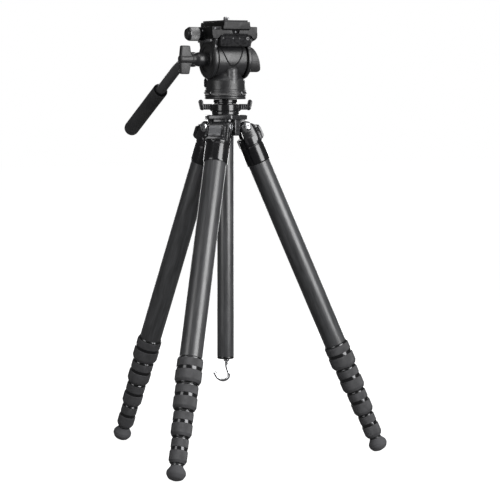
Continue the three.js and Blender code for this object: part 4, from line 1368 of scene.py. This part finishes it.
    def hook(self) -> None:
        """The end cap and the bent wire hook for a weight bag."""
        end = self.column_end
        radius = self.column_radius
        cap = Form.turned([
            (0, end - 1.0), (4, end - 1.0, 0.4), (4.8, end - 0.1), (radius - 0.9, end, 0.5),
            (radius, end + 0.9, 0.5),
            (radius, end + self.hook_cap, 0.3), (radius - 1.7, end + self.hook_cap),
            (radius - 1.7, end + 13), (0, end + 13),
        ], FINE_STEPS)
        route = [
            (1.2, 1.5), (1.2, -6), (1.6, -11), (3.2, -17), (4.7, -22), (3.8, -27.2), (0, -30.6),
            (-5, -31.3), (-10, -29), (-13.4, -25), (-15.2, -21),
        ]
        wire = Form.bent([(x, 0, end + z) for x, z in route], self.hook_wire)
        knob = Form.turned(
            [(0, -1.2), (2.3, -1.0, 0.5), (2.6, 0.3, 0.5), (2.2, 1.6, 0.7), (0, 1.9)], SMALL_STEPS
        )
        wire.joined(knob.rotated(-28, "Y").moved(-15.2, 0, end - 21))
        nut = Form.slab(arc((1.2, 0), 4.0, 0, 300, 5), end - 3.6, end - 0.8, Plane.XY, 0.4)
        for part in (cap, wire, nut):
            part.rotated(self.wing_azimuth)
        self.fit(cap, "column_end_cap", "column_hook", CASTING)
        self.fit(wire.joined(nut), "weight_hook", "column_hook", CHROME, "column_hook")

    def build(self) -> None:
        """Builds every piece of the spider and column."""
        self.spider()
        self.collar()
        self.tube()
        self.top_plate()
        self.hook()


# ---------------------------------------------------------------------------
# Head, in heights above the tilt axis
# ---------------------------------------------------------------------------
@dataclass
class HeadBody(SubAssembly):
    """Head base on the column, and the body that pans on it and carries the drum."""

    base_bottom: float = -56.9
    base_top: float = -49.7
    base_radius: float = 29.8
    body_bottom: float = -49.4
    body_top: float = -28.8
    body_radius: float = 28.3
    skirt_radius: float = 31.0
    drum_radius: float = 25.5
    drum_half: float = 23.75
    knob_azimuth: float = 153.0
    knob_height: float = -33.4
    screw_azimuths: tuple[float, ...] = (-160.0, -67.0, 23.0, 113.0)

    def base(self) -> None:
        """The turning base that is screwed to the column."""
        radius = self.base_radius
        low, high = self.base_bottom, self.base_top
        base = Form.turned([
            (4.9, low), (radius - 1.2, low, 0.3), (radius, low + 1.1, 0.5), (radius, low + 3.1, 0.3),
            (radius - 0.9, low + 3.5, 0.2), (radius - 0.9, low + 4.0, 0.2), (radius, low + 4.4, 0.3),
            (radius, high - 0.5, 0.4), (radius - 0.6, high, 0.2), (4.9, high),
        ], FINE_STEPS)
        self.fit(base, "pan_base", "column", HEAD_PAINT, "head_base")

    def body(self) -> None:
        """The body: skirt, flared stem, two half-round ribs and the drum."""
        low, radius = self.body_bottom, self.body_radius
        skirt = Form.turned([
            (0, low), (self.skirt_radius - 0.5, low, 0.3), (self.skirt_radius, low + 0.6, 0.3),
            (self.skirt_radius - 0.2, low + 2.8, 0.4), (radius + 1.6, low + 3.2, 0.2),
            (radius + 1.7, low + 3.6, 0.2),
            (radius + 1.4, low + 5.8, 0.5), (radius + 0.6, low + 6.3, 0.2),
            (radius + 0.7, low + 6.7, 0.2),
            (radius + 0.2, low + 9.5, 3), (radius, self.body_top - 1.2, 0.8),
            (radius - 1.2, self.body_top, 0.6),
            (0, self.body_top),
        ], FINE_STEPS)
        stem = Form.turned([
            (0, self.body_top - 1), (27.4, self.body_top - 1), (26.2, -27.2, 2), (21.5, -22, 4),
            (19.0, -12, 3), (19.0, -4), (0, -4),
        ], FINE_STEPS)
        reach = self.drum_half - 0.4
        stem.trimmed(Form.block((-reach, -40, -40), (reach, 40, 0)))
        rib = Form.turned([(0, -46), (8.2, -46), (8.2, -12, 7), (0, -11)], 48)
        rib.moved(0, -20.2, 0)
        ribs = rib.joined(rib.copied().rotated(180))
        shy = self.drum_radius - 1.7
        half = self.drum_half
        drum = Form.turned([
            (0, -half), (shy, -half, 0.3), (shy, 1.7 - half), (self.drum_radius, 1.9 - half, 0.6),
            (self.drum_radius, half - 1.9, 0.6), (shy, half - 1.7), (shy, half, 0.3), (0, half),
        ], FINE_STEPS)
        self.fit(
            skirt.joined(stem, ribs, drum.facing(Heading.RIGHT)), "pan_body", "head_pan", HEAD_PAINT,
            "head_body"
        )

    def inlay(self, half_width: float = 18.0, low: float = -9.3, high: float = 17.5) -> None:
        """A dark curved line laid on the drum, on its front and its back.

        Args:
            half_width: Half the line's width at its two upper ends.
            low: Height of its lowest point.
            high: Height of its ends.
        """
        steps = 14
        lines = Form()
        for side in (-1, 1):
            route = []
            for step in range(steps + 1):
                share = 2 * step / steps - 1
                z = low + (high - low) * share * share
                route.append(
                    (share * half_width, side * (math.sqrt(self.drum_radius ** 2 - z * z) + 0.05), z)
                )
            lines.joined(Form.bent(route, 0.9, 3))
        self.fit(lines, "drum_dark_line", "head_pan", BLACK_AND_SHADE_PAINT)

    def screws(self) -> None:
        """Four set screws round the skirt, each ringed by a dark rim of painted shade round its hole.
        """
        screws, shade_rims = Form(), Form()
        for azimuth in self.screw_azimuths:
            spot = (self.skirt_radius - 0.15, 0, self.body_bottom + 1.8)
            screws.joined(set_screw(1.35, 0.3).facing(Heading.RIGHT).moved(*spot).rotated(azimuth))
            # The dark rim is painted shade round the screw's hole.
            shade_rim = Form.turned([(1.4, -1), (2.1, -1), (2.1, 0.35, 0.2), (1.4, 0.35, 0.2)], SMALL_STEPS)
            shade_rims.joined(shade_rim.facing(Heading.RIGHT).moved(*spot).rotated(azimuth))
        self.fit(screws, "skirt_screws", "head_pan", ZINC)
        self.fit(shade_rims, "skirt_screw_shade_rims", "head_pan", BLACK_AND_SHADE_PAINT)

    def pan_knob(self) -> None:
        """The flat knob that locks the pan."""
        start = self.body_radius - 0.9
        knob = Form.turned([
            (0, start - 5), (2.6, start - 5), (2.6, start), (6.5, start, 0.3), (6.5, start + 2.6, 0.9),
            (5.2, start + 3.5, 0.8), (3.6, start + 3.1, 0.4), (0, start + 3.1),
        ], 144).ribbed(36, 0.4, start + 0.2, start + 2.4, 6)
        slot = Form.block((-0.5, -4, start + 2.4), (0.5, 4, start + 4))
        washer = Form.turned(
            [(0, start - 1.6), (5.2, start - 1.6), (5.2, start + 0.2, 0.3), (0, start + 0.2)],
            SMALL_STEPS
        )
        knob.carved(slot).joined(washer).facing(Heading.RIGHT)
        knob.rotated(self.knob_azimuth).moved(z=self.knob_height)
        self.fit(knob, "pan_knob", "pan_lock_knob", CASTING, "pan_lock_knob")

    def build(self) -> None:
        """Builds every piece that doesn't tilt."""
        self.base()
        self.body()
        self.inlay()
        self.screws()
        self.pan_knob()


@dataclass
class TiltCradle(SubAssembly):
    """Cheeks, platform, plate receiver and their two knobs."""

    axle_radius: float = 6.0
    cheek_inner: float = 24.35
    cheek_outer: float = 29.95
    cheek_radius: float = 28.0
    arm_half: float = 27.0
    arm_top: float = 29.2
    rosette_radius: float = 10.0
    rosette_end: float = 31.55
    platform_half: float = 24.05
    platform_long: float = 33.0
    platform_low: float = 18.0
    platform_high: float = 33.9
    foot_low: float = 29.5
    web_low: float = 34.2
    floor: float = 42.6
    rail_top: float = 46.2
    receiver_left: float = -37.25
    receiver_right: float = 34.35
    knob_height: float = 36.0

    def cheek(self, side: int) -> None:
        """A side cheek with its half axle; the left one ends in a toothed rosette.

        Args:
            side: -1 for the left cheek and 1 for the right one.
        """
        inner, outer, radius = self.cheek_inner, self.cheek_outer, self.cheek_radius
        left = side < 0
        boss = self.rosette_end if left else outer
        disc = Form.turned([
            (0, inner - 15), (self.axle_radius, inner - 15, 0.5), (self.axle_radius, inner),
            (radius - 0.4, inner, 0.2),
            (radius, inner + 0.5, 0.3), (radius, outer - 1.3, 0.9), (radius - 1.4, outer, 0.6),
            (24.8, outer, 0.2),
            (24.4, outer - 0.5), (23.8, outer - 0.5), (23.4, outer, 0.2), (18.4, outer, 0.4),
            (17.6, outer - 0.9, 0.4),
            (13.4, outer - 0.9, 0.4), (12.6, outer, 0.4), (self.rosette_radius, outer),
            (self.rosette_radius, boss, 0.3),
            (0, boss),
        ], FINE_STEPS)
        if left:
            for vert in disc.mesh.verts:
                reach = math.hypot(vert.co.x, vert.co.y)
                if vert.co.z > outer + 0.2 and 1 < reach < self.rosette_radius:
                    vert.co.z -= 0.4 * (0.5 - 0.5 * math.cos(30 * math.atan2(vert.co.y, vert.co.x)))
        disc.facing(Heading.LEFT if left else Heading.RIGHT)
        waist = self.cheek_radius - 5
        arm = [
            (-24, 4), (24, 4), (waist, 17, 9), (self.arm_half, self.arm_top - 2, 2),
            (self.arm_half, self.arm_top),
            (-self.arm_half, self.arm_top), (-self.arm_half, self.arm_top - 2, 2), (-waist, 17, 9),
        ]
        near, far = sorted((side * inner, side * (outer - 0.7)))
        disc.joined(Form.slab(arm, near, far, Plane.YZ, 1.0))
        gusset = [(20, 24, 2), (20, self.arm_top, 0.5), (-20, self.arm_top, 0.5), (-20, 24, 2)]
        near, far = sorted((side * (outer - 1.5), side * (outer + (4.5 if left else 3.4))))
        disc.joined(Form.slab(gusset, near, far, Plane.YZ, 1.6))
        name = "left" if left else "right"
        self.fit(disc, f"cheek_{name}", "head_tilt", HEAD_PAINT, f"{name}_cheek")
        screws = Form()
        screw = set_screw(1.6, 0.5).facing(Heading.FRONT).moved(side * (inner + 2.6), -23.8, 19.2)
        screws.joined(screw.copied().mirrored("Y"), screw)
        self.fit(screws, f"cheek_screws_{name}", "head_tilt", STEEL)

    def platform(self) -> None:
        """The block between the cheeks, arched over the drum, with its small screws."""
        half, long = self.platform_half, self.platform_long
        block = Form.block((-half, -long, self.platform_low), (half, long, self.platform_high), 1.2)
        arch = Form.turned(
            [(0, -half - 2), (27.5, -half - 2), (27.5, half + 2), (0, half + 2)], FINE_STEPS
        )
        block.carved(arch.facing(Heading.RIGHT))
        # The block's near-black matt paint is partly its own black and partly painted shade for the
        # shadow of the receiver above it.
        self.fit(block, "platform_block", "head_tilt", BLACK_AND_SHADE_PAINT, "platform", crease=40)
        screws = Form()
        for x, radius in ((-20.2, 1.4), (-4.0, 1.2), (6.0, 1.2), (19.2, 2.7)):
            screw = set_screw(radius, 0.4).facing(Heading.FRONT).moved(x, -long, 29.6)
            screws.joined(screw.copied().rotated(180), screw)
        self.fit(screws, "platform_screws", "head_tilt", HEAD_PAINT)

    def receiver(self) -> None:
        """The channel with two rails that holds the plate, its boss and its catch housing."""
        inner = self.cheek_inner + 1.8
        rail, floor = self.rail_top, self.floor
        section = [
            (self.receiver_left + 2.2, self.foot_low, 1.2), (-inner - 1.2, self.foot_low, 1.0),
            (-inner + 2.0, self.web_low, 2),
            (inner - 2.0, self.web_low, 2), (inner + 1.2, self.foot_low, 1.0),
            (self.receiver_right, self.foot_low, 2),
            (self.receiver_right, rail, 1.2), (22.1, rail, 0.6), (22.6, floor), (-22.6, floor),
            (-22.1, rail, 0.6),
            (self.receiver_left, rail, 1.0), (self.receiver_left, self.web_low + 1, 2),
        ]
        long = self.platform_long
        channel = Form.slab(section, -long, long, Plane.XZ, 0.8)
        for side in (-1, 1):
            near, far = sorted((side * (long - 3.5), side * (long + 1)))
            channel.carved(
                Form.slab(
                    [(-8, floor + 1), (8, floor + 1), (3.2, 33.5, 1), (-3.2, 33.5, 1)], near, far,
                    Plane.XZ
                )
            )
        housing = Form.turned([
            (0, self.receiver_right - 6), (10, self.receiver_right - 6),
            (10, self.receiver_right + 9.5, 1.5),
            (8.8, self.receiver_right + 10.8, 0.5), (8.8, self.receiver_right + 12, 0.8),
            (6.6, self.receiver_right + 14.7, 1.6),
            (0, self.receiver_right + 14.7),
        ], ROUND_STEPS).facing(Heading.RIGHT).moved(z=self.knob_height)
        brace = Form.slab(
            [
                (self.receiver_right - 2, 30.2, 2), (40, 31.0, 4), (40, 44.8, 4),
                (self.receiver_right - 2, rail, 1)
            ],
            -14, 14, Plane.XZ, 2.2,
        )
        self.fit(
            channel.joined(housing, brace), "plate_channel", "head_tilt", GREY_ALLOY, "plate_receiver"
        )
        left = -self.receiver_left
        boss = Form.turned([
            (0, left - 2), (9.4, left - 2), (9.4, left + 1.2, 0.6), (8.5, left + 1.8, 0.4),
            (8.5, left + 6.1, 0.6), (7.6, left + 6.7, 0.3),
            (2.9, left + 6.7), (2.9, left + 2), (0, left + 2),
        ], ROUND_STEPS).facing(Heading.LEFT).moved(z=self.knob_height)
        # The dark strips on the channel's end faces are painted shade: at the back of each notch, under
        # the plate's floor and along the web's lower edge; a further dark patch sits on the end of the
        # left rail. The boss is a real dark part.
        end_shade_strips = Form()
        for side in (-1, 1):
            near, far = sorted((side * (long - 3.4), side * (long - 1.6)))
            end_shade_strips.joined(
                Form.slab(
                    [(-7, 42.4), (7, 42.4), (2.6, 34.6, 1), (-2.6, 34.6, 1)], near, far, Plane.XZ, 0.4
                )
            )
            near, far = sorted((side * (long - 0.4), side * (long + 0.25)))
            end_shade_strips.joined(
                Form.slab(
                    [(-36.4, 41.6), (-25.2, 41.6), (-24.4, rail - 0.5), (-36.4, rail - 0.5)], near, far,
                    Plane.XZ, 0.2
                )
            )
            end_shade_strips.joined(
                Form.slab(
                    [(-21, 41.0), (21, 41.0), (22, floor - 0.1), (-22, floor - 0.1)], near, far,
                    Plane.XZ, 0.2
                )
            )
            end_shade_strips.joined(
                Form.slab([(-20, 34.4), (20, 34.4), (19, 36.4), (-19, 36.4)], near, far, Plane.XZ, 0.2)
            )
        self.fit(boss.joined(end_shade_strips), "receiver_boss_and_shade_strips", "head_tilt", BLACK_AND_SHADE_PAINT)
        screws = Form()
        for turn in (0, 180):
            screws.joined(
                set_screw(1.3, 0.5).facing(Heading.FRONT).moved(-32.9, -long, 43.4).rotated(turn),
                set_screw(1.4, 0.4).facing(Heading.FRONT).moved(0.4, 1.7 - long, 38.6).rotated(turn),
            )
        screws.joined(
            set_screw(1.5, 0.4).moved(z=8.5).rotated(57, "X").moved(
                self.receiver_left - 2.2, 0, self.knob_height
            )
        )
        self.fit(screws, "receiver_screws", "head_tilt", TAB_ALLOY)

    def plate_knob(self, length: float = 18.0, radius: float = 10.0) -> None:
        """The knurled knob that clamps the camera plate, with a dark end.

        Args:
            length: The knob's length.
            radius: Its radius.
        """
        start = -self.receiver_left + 7.0
        end = start + length
        count = 44
        knob = Form.turned([
            (0, start - 8), (2.6, start - 8), (2.6, start), (radius - 1.0, start, 0.3),
            (radius, start + 1.0, 0.3),
            (radius, end - 4.6, 0.3), (radius - 0.7, end - 3.8, 0.3), (0, end - 3.8),
        ], 4 * count).ribbed(count, 0.5, start + 1.2, end - 4.8, radius - 0.3)
        cap = Form.turned([
            (0, end - 5), (radius - 0.5, end - 5), (radius - 0.5, end - 2.6, 0.8),
            (radius - 2.6, end, 1.8),
            (radius - 3.4, end, 0.4), (radius - 4.2, end - 0.6, 0.4), (0, end - 0.6),
        ], ROUND_STEPS)
        for part in (knob, cap):
            part.facing(Heading.LEFT).moved(z=self.knob_height)
        self.fit(knob, "plate_knob", "plate_lock_knob", SILVER_ALLOY, "plate_lock_knob")
        self.fit(cap, "plate_knob_cap", "plate_lock_knob", CASTING)

    def tilt_knob(self, length: float = 21.3, radius: float = 18.0, slope: float = 11.5) -> None:
        """The ribbed wedge-shaped knob that locks the tilt.

        Args:
            length: The knob's length at its bottom.
            radius: Its radius.
            slope: How much shorter it is at its top.
        """
        start = self.cheek_outer + 0.5
        end = start + length
        count = 52
        drum = Form.turned([
            (0, start), (radius - 0.8, start, 0.4), (radius, start + 0.9, 0.4), (radius, end + 2),
            (0, end + 2),
        ], 4 * count).ribbed(count, 0.75, start + 1.5, end + 3, radius - 0.3).facing(Heading.RIGHT)
        wedge = [
            (start - 1, -radius - 1), (end - 1.4, -radius - 1), (end - 0.4, -radius + 0.6, 1.2),
            (end, -radius + 2.4, 2),
            (end - slope * 0.3, -radius * 0.5, 12), (end - slope * 0.74, radius * 0.4, 16),
            (end - slope, radius - 0.8, 1.5),
            (end - slope - 1.2, radius + 1), (start - 1, radius + 1),
        ]
        knob = drum.trimmed(Form.slab(wedge, -radius - 2, radius + 2, Plane.XZ))
        self.fit(knob, "tilt_knob", "tilt_lock_knob", RIB_PLASTIC, "tilt_lock_knob", crease=28)
        washer = Form.turned(
            [(0, start - 0.4), (radius - 3, start - 0.4), (radius - 3, start + 0.2), (0, start + 0.2)]
        )
        self.fit(washer.facing(Heading.RIGHT), "tilt_knob_washer", "tilt_lock_knob", BLACK_AND_SHADE_PAINT)

    def build(self) -> None:
        """Builds every piece of the cradle."""
        self.cheek(-1)
        self.cheek(1)
        self.platform()
        self.receiver()
        self.plate_knob()
        self.tilt_knob()


@dataclass
class CameraPlate(SubAssembly):
    """The sliding plate with its rubber pad, camera screw and steady pin."""

    low: float = 42.9
    high: float = 55.5
    half_low: float = 22.0
    half_high: float = 20.3
    half_long: float = 37.5
    pad_thick: float = 2.5
    screw_radius: float = 3.15
    screw_top: float = 61.0
    thread_pitch: float = 1.27
    pin_radius: float = 1.4
    pin_offset: float = -9.0
    pin_low: float = 51.3
    pin_top: float = 60.0

    def plate(self) -> None:
        """The dovetail plate with raised corners round the pad."""
        body_top = self.high - self.pad_thick
        long = self.half_long
        section = [
            (-self.half_low, self.low, 0.4), (self.half_low, self.low, 0.4),
            (self.half_low - 0.5, self.low + 3.6, 0.4),
            (self.half_low - 1.1, self.low + 4.4, 0.4), (self.half_high, body_top, 0.6),
            (-self.half_high, body_top, 0.6), (1.1 - self.half_low, self.low + 4.4, 0.4),
            (0.5 - self.half_low, self.low + 3.6, 0.4),
        ]
        plate = Form.slab(section, -long, long, Plane.XZ, 0.7)
        for x in (-1, 1):
            for y in (-1, 1):
                near_x, far_x = sorted((x * (self.half_high - 5.2), x * (self.half_high - 0.1)))
                near_y, far_y = sorted((y * (long - 2.6), y * (long - 0.2)))
                plate.joined(Form.block((near_x, near_y, body_top - 2), (far_x, far_y, self.high), 0.8))
        plate.carved(Form.turned([(0, 50), (3.6, 50), (3.6, 60), (0, 60)], SMALL_STEPS))
        self.fit(plate, "sliding_plate", "camera_plate", GREY_ALLOY, "camera_plate")

    def pad(self) -> None:
        """The rubber pad, grooved across, with room for the screw."""
        low = self.high - self.pad_thick - 0.4
        outline = rectangle(2 * self.half_high - 2.4, 2 * self.half_long - 5.6, 2.5)
        pad = Form.slab(outline, low, self.high - 0.15, Plane.XY, 0.6)
        pad.carved(Form.turned([(0, low - 1), (5.5, low - 1), (5.5, 60), (0, 60)], SMALL_STEPS))
        grooves = Form()
        reach = self.half_high - 3.0
        for step in range(-8, 9):
            if abs(step) > 2:
                y = step * 4.0
                grooves.joined(
                    Form.block((-reach, y - 0.5, self.high - 0.65), (reach, y + 0.5, self.high + 1))
                )
        self.fit(pad.carved(grooves), "plate_pad", "camera_plate", PAD_RUBBER)

    def screw(self) -> None:
        """The camera screw, with its thread as rings."""
        radius = self.screw_radius
        low = self.low + 0.3
        outline: list[Corner] = [(0, low), (8, low, 0.4), (8, low + 4, 0.4), (radius - 0.5, low + 4)]
        height = low + 5
        while height < self.screw_top - 1.4:
            outline += [(radius - 0.5, height), (radius, height + self.thread_pitch / 2)]
            height += self.thread_pitch
        outline += [(radius - 0.5, height), (radius - 0.9, self.screw_top, 0.4), (0, self.screw_top)]
        self.fit(
            Form.turned(outline, 48), "camera_bolt", "camera_screw", STEEL, "camera_screw", crease=20
        )

    def pin(self) -> None:
        """The sprung steady pin."""
        radius = self.pin_radius
        low = self.pin_low
        pin = Form.turned(
            [(0, low), (radius, low), (radius, self.pin_top - 0.2, 0.9), (0, self.pin_top)], SMALL_STEPS
        )
        self.fit(pin.moved(0, self.pin_offset, 0), "sprung_pin", "steady_pin", STEEL, "steady_pin")

    def build(self) -> None:
        """Builds every piece of the plate."""
        self.plate()
        self.pad()
        self.screw()
        self.pin()


@dataclass
class PanBar(SubAssembly):
    """Clamp, wing knob, bent bar and foam grip, beside the left cheek."""

    bar_x: float = -41.15
    bar_radius: float = 7.4
    socket_wall: float = 2.0
    socket_start: float = 8.0
    socket_end: float = 25.0
    hub_inner: float = 31.85
    hub_outer: float = 50.15
    neck_end: float = 51.35
    knee: float = 57.0
    knee_round: float = 28.0
    drop: float = 3.2
    bend: float = 29.3
    reach: float = 208.6
    grip_radius: float = 11.2
    grip_length: float = 126.0
    wing_half: float = 20.25
    wing_length: float = 21.5
    wing_lean: float = 4.0

    def along(self, distance: float) -> Vector:
        """A point on the sloping part, at a distance past the knee."""
        slope = math.radians(self.bend)
        return Vector(
            (
                self.bar_x, self.knee + distance * math.cos(slope),
                -self.drop - distance * math.sin(slope)
            )
        )

    def clamp(self) -> None:
        """The ball-shaped clamp that holds the bar against the rosette."""
        hub = Form.turned([
            (0, self.hub_inner), (9.2, self.hub_inner, 0.3), (9.2, self.hub_inner + 2.2, 0.6),
            (10.2, 37, 2), (10.4, 41.2, 4),
            (9.8, 46, 4), (7.0, self.hub_outer - 0.4, 1.5), (7.0, self.neck_end, 0.3),
            (4, self.neck_end),
            (4, self.neck_end + 8), (0, self.neck_end + 8),
        ]).facing(Heading.LEFT)
        outer = self.bar_radius + self.socket_wall
        sleeve = Form.turned([
            (0, -1), (outer, -1), (outer, self.socket_end - 5, 0.5),
            (outer + 1.3, self.socket_end - 4, 0.6),
            (outer + 1.3, self.socket_end - 0.6, 0.6), (outer, self.socket_end, 0.4),
            (self.bar_radius + 0.2, self.socket_end), (self.bar_radius + 0.2, self.socket_end - 6),
            (0, self.socket_end - 6),
        ]).facing(Heading.BACK).moved(self.bar_x)
        self.fit(hub.joined(sleeve), "bar_clamp", "pan_bar", HEAD_PAINT, "pan_bar_clamp")

    def wing_knob(self) -> None:
        """The wing knob that tightens the clamp."""
        start = self.neck_end + FIT
        end = start + self.wing_length
        half = self.wing_half
        hub = Form.turned([
            (0, start), (7.4, start, 0.4), (7.4, start + 1.8, 0.6), (6.4, start + 2.6, 0.6),
            (6.4, end - 0.8, 1.2), (4.6, end + 0.5, 1.2),
            (0, end + 0.5),
        ], 48).facing(Heading.LEFT)
        wings = Form.slab([
            (1.6 - end, -half - 0.8, 2.0), (14.8 - end, -half - 0.8, 1.6), (16.6 - end, -9.5, 7),
            (19.6 - end, -5, 3),
            (19.6 - end, 5, 3), (16.6 - end, 9.5, 7), (14.8 - end, half - 0.8, 1.6),
            (1.6 - end, half - 0.8, 2.0),
            (-end, 0, 40),
        ], -4, 4, Plane.XZ, 1.5)
        knob = hub.joined(wings).rotated(self.wing_lean, "X")
        self.fit(knob, "bar_wing_knob", "pan_bar_wing_knob", KNOB_PLASTIC, "pan_bar_wing_knob")

    def bar(self) -> None:
        """The bent bar."""
        start = Vector((self.bar_x, self.socket_start, 0))
        lead = Vector((self.bar_x, self.knee - self.knee_round, 0))
        corner, tail = self.along(0), self.along(self.knee_round)
        route = [start, start.lerp(lead, 0.5)]
        steps = 12
        for step in range(steps + 1):
            share = step / steps
            route.append(lead.lerp(corner, share).lerp(corner.lerp(tail, share), share))
        end = self.along(self.reach - 8)
        route += [tail.lerp(end, 0.15), tail.lerp(end, 0.6), end]
        self.fit(
            Form.bent([tuple(point) for point in route], self.bar_radius, 12), "bent_bar", "pan_bar",
            BAR_PAINT, "pan_bar"
        )

    def grip(self) -> None:
        """The foam grip with a ring at its upper end."""
        radius, length = self.grip_radius, self.grip_length
        grip = Form.turned([
            (0, 0), (radius * 0.45, 0, 3), (radius * 0.88, 2.2, 3), (radius, 7, 4),
            (radius - 0.05, length * 0.5),
            (radius, length - 1.6, 0.8), (radius - 1.0, length - 0.6, 0.5),
            (self.bar_radius + 0.2, length - 0.6),
            (self.bar_radius + 0.2, 7), (0, 7),
        ], FINE_STEPS)
        ring = Form.turned([
            (self.bar_radius + 0.1, length - 3), (radius - 0.6, length - 3),
            (radius - 0.5, length - 0.3, 0.6),
            (radius - 1.6, length + 0.4, 0.5), (self.bar_radius + 0.1, length + 0.4),
        ], ROUND_STEPS)
        end = self.along(self.reach)
        for part in (grip, ring):
            part.rotated(90 - self.bend, "X").moved(*end)
        sleeve = self.fit(grip, "foam_grip", "pan_bar", FOAM, "pan_bar_grip")
        self.fit(ring, "foam_grip_ring", "pan_bar", BLACK_AND_SHADE_PAINT)

    def build(self) -> None:
        """Builds every piece of the pan bar."""
        self.clamp()
        self.wing_knob()
        self.bar()
        self.grip()


# ---------------------------------------------------------------------------
# Studio
# ---------------------------------------------------------------------------
@dataclass(frozen=True)
class SoftBox:
    """A flat lamp that faces the middle of the stand. Azimuths are to the right of the camera."""

    azimuth: float
    distance: float
    height: float
    width: float
    tall: float
    watts: float


@dataclass
class Studio:
    """Floor, soft light and camera."""

    azimuth: float = -27.0
    distance: float = 3.441
    above_pins: float = 0.055
    pitch_down: float = 3.86
    yaw_right: float = 0.59
    lens: float = 172.0
    floor_size: float = 12.0
    paper_glow: float = 0.97
    fill: float = 0.1
    boxes: tuple[SoftBox, ...] = (
        SoftBox(49, 1.9, 0.95, 1.2, 1.9, 62),
        SoftBox(-46, 2.1, 0.85, 1.0, 1.7, 17),
        SoftBox(163, 2.0, 0.7, 0.5, 1.4, 10),
        SoftBox(-163, 2.0, 0.7, 0.5, 1.4, 8),
        SoftBox(10, 0.6, 2.3, 1.6, 1.2, 12),
    )

    def direction(self, azimuth: float) -> Vector:
        """The level direction from the column to a place at an azimuth."""
        turn = math.radians(azimuth)
        return Vector((math.sin(turn), -math.cos(turn), 0))

    def build(self) -> None:
        """Lays the floor, hangs the lamps and sets the camera."""
        column = Vector(joint("head_pan")["pos_m"])
        pins = joint("leg_front_fold")["pos_m"][2]
        self.floor()
        self.sky()
        for number, box in enumerate(self.boxes):
            self.lamp(number, box, Vector((column.x, column.y, 0.36)))
        towards = self.direction(self.azimuth)
        eye = Vector((column.x, column.y, pins + self.above_pins)) + towards * self.distance
        yaw = math.radians(self.yaw_right)
        right = Vector((-towards.y, towards.x, 0))
        level = -towards * math.cos(yaw) + right * math.sin(yaw)
        pitch = math.radians(self.pitch_down)
        look = level * math.cos(pitch) - Vector((0, 0, math.sin(pitch)))
        data = bpy.data.cameras.new("camera")
        data.lens = self.lens
        data.clip_end = 50
        camera = bpy.data.objects.new("camera", data)
        camera.location = eye
        camera.rotation_euler = look.to_track_quat("-Z", "Y").to_euler()
        bpy.context.scene.collection.objects.link(camera)
        bpy.context.scene.camera = camera
        bpy.context.scene.view_settings.view_transform = "Standard"

    def floor(self) -> None:
        """A plain pale floor."""
        form = Form()
        bmesh.ops.create_grid(form.mesh, x_segments=1, y_segments=1, size=self.floor_size)
        floor = bpy.data.objects.new("floor", form.as_mesh("floor"))
        bpy.context.scene.collection.objects.link(floor)
        paper = bpy.data.materials.new("pale_paper")
        paper.use_nodes = True
        wires = Wiring(paper.node_tree)
        shader = paper.node_tree.nodes["Principled BSDF"]
        shader.inputs["Base Color"].default_value = (0.3, 0.3, 0.3, 1)
        shader.inputs["Roughness"].default_value = 0.9
        shader.inputs["Emission Color"].default_value = (1, 1, 1, 1)
        seen = wires.add("LightPath").outputs["Is Camera Ray"]
        glow = wires.spread(seen, 0.0, 1.0, 0.05, self.paper_glow)
        paper.node_tree.links.new(glow, shader.inputs["Emission Strength"])
        shader.inputs["Specular IOR Level"].default_value = 0.1
        floor.data.materials.append(paper)
        floor.visible_glossy = False

    def sky(self) -> None:
        """Bright to the camera, dimmer and even as a light."""
        world = bpy.data.worlds.new("studio")
        world.use_nodes = True
        wires = Wiring(world.node_tree)
        seen = wires.add("LightPath").outputs["Is Camera Ray"]
        strength = wires.spread(seen, 0.0, 1.0, self.fill, 1.0)
        backdrop = world.node_tree.nodes["Background"]
        backdrop.inputs["Color"].default_value = (1, 1, 1, 1)
        world.node_tree.links.new(strength, backdrop.inputs["Strength"])
        bpy.context.scene.world = world

    def lamp(self, number: int, box: SoftBox, middle: Vector) -> None:
        """Hangs one soft box.

        Args:
            number: Its number, for its name.
            box: Its place, size and power.
            middle: The point that it faces.
        """
        data = bpy.data.lights.new(f"soft_box_{number}", "AREA")
        data.shape = "RECTANGLE"
        data.size = box.width
        data.size_y = box.tall
        data.energy = box.watts
        lamp = bpy.data.objects.new(data.name, data)
        spot = middle + self.direction(self.azimuth + box.azimuth) * box.distance
        lamp.location = (spot.x, spot.y, box.height)
        lamp.rotation_euler = (middle - lamp.location).to_track_quat("-Z", "Y").to_euler()
        bpy.context.scene.collection.objects.link(lamp)


def main() -> None:
    """Builds the stand piece by piece, then the studio."""
    logging.basicConfig(level=logging.INFO, format="%(name)s %(message)s")
    for name in ("front", "right", "rear"):
        Leg(leg_frame(name), name=name).build()
    pins = Matrix.Translation(
        (0, 0, joint("leg_front_fold")["pos_m"][2] - joint("head_pan")["pos_m"][2])
    )
    Column(pins @ upright("head_pan")).build()
    tilt_axis = upright("head_tilt")
    for part in (HeadBody(tilt_axis), TiltCradle(tilt_axis), CameraPlate(tilt_axis), PanBar(tilt_axis)):
        part.build()
    Studio().build()


if __name__ == "__main__":
    main()
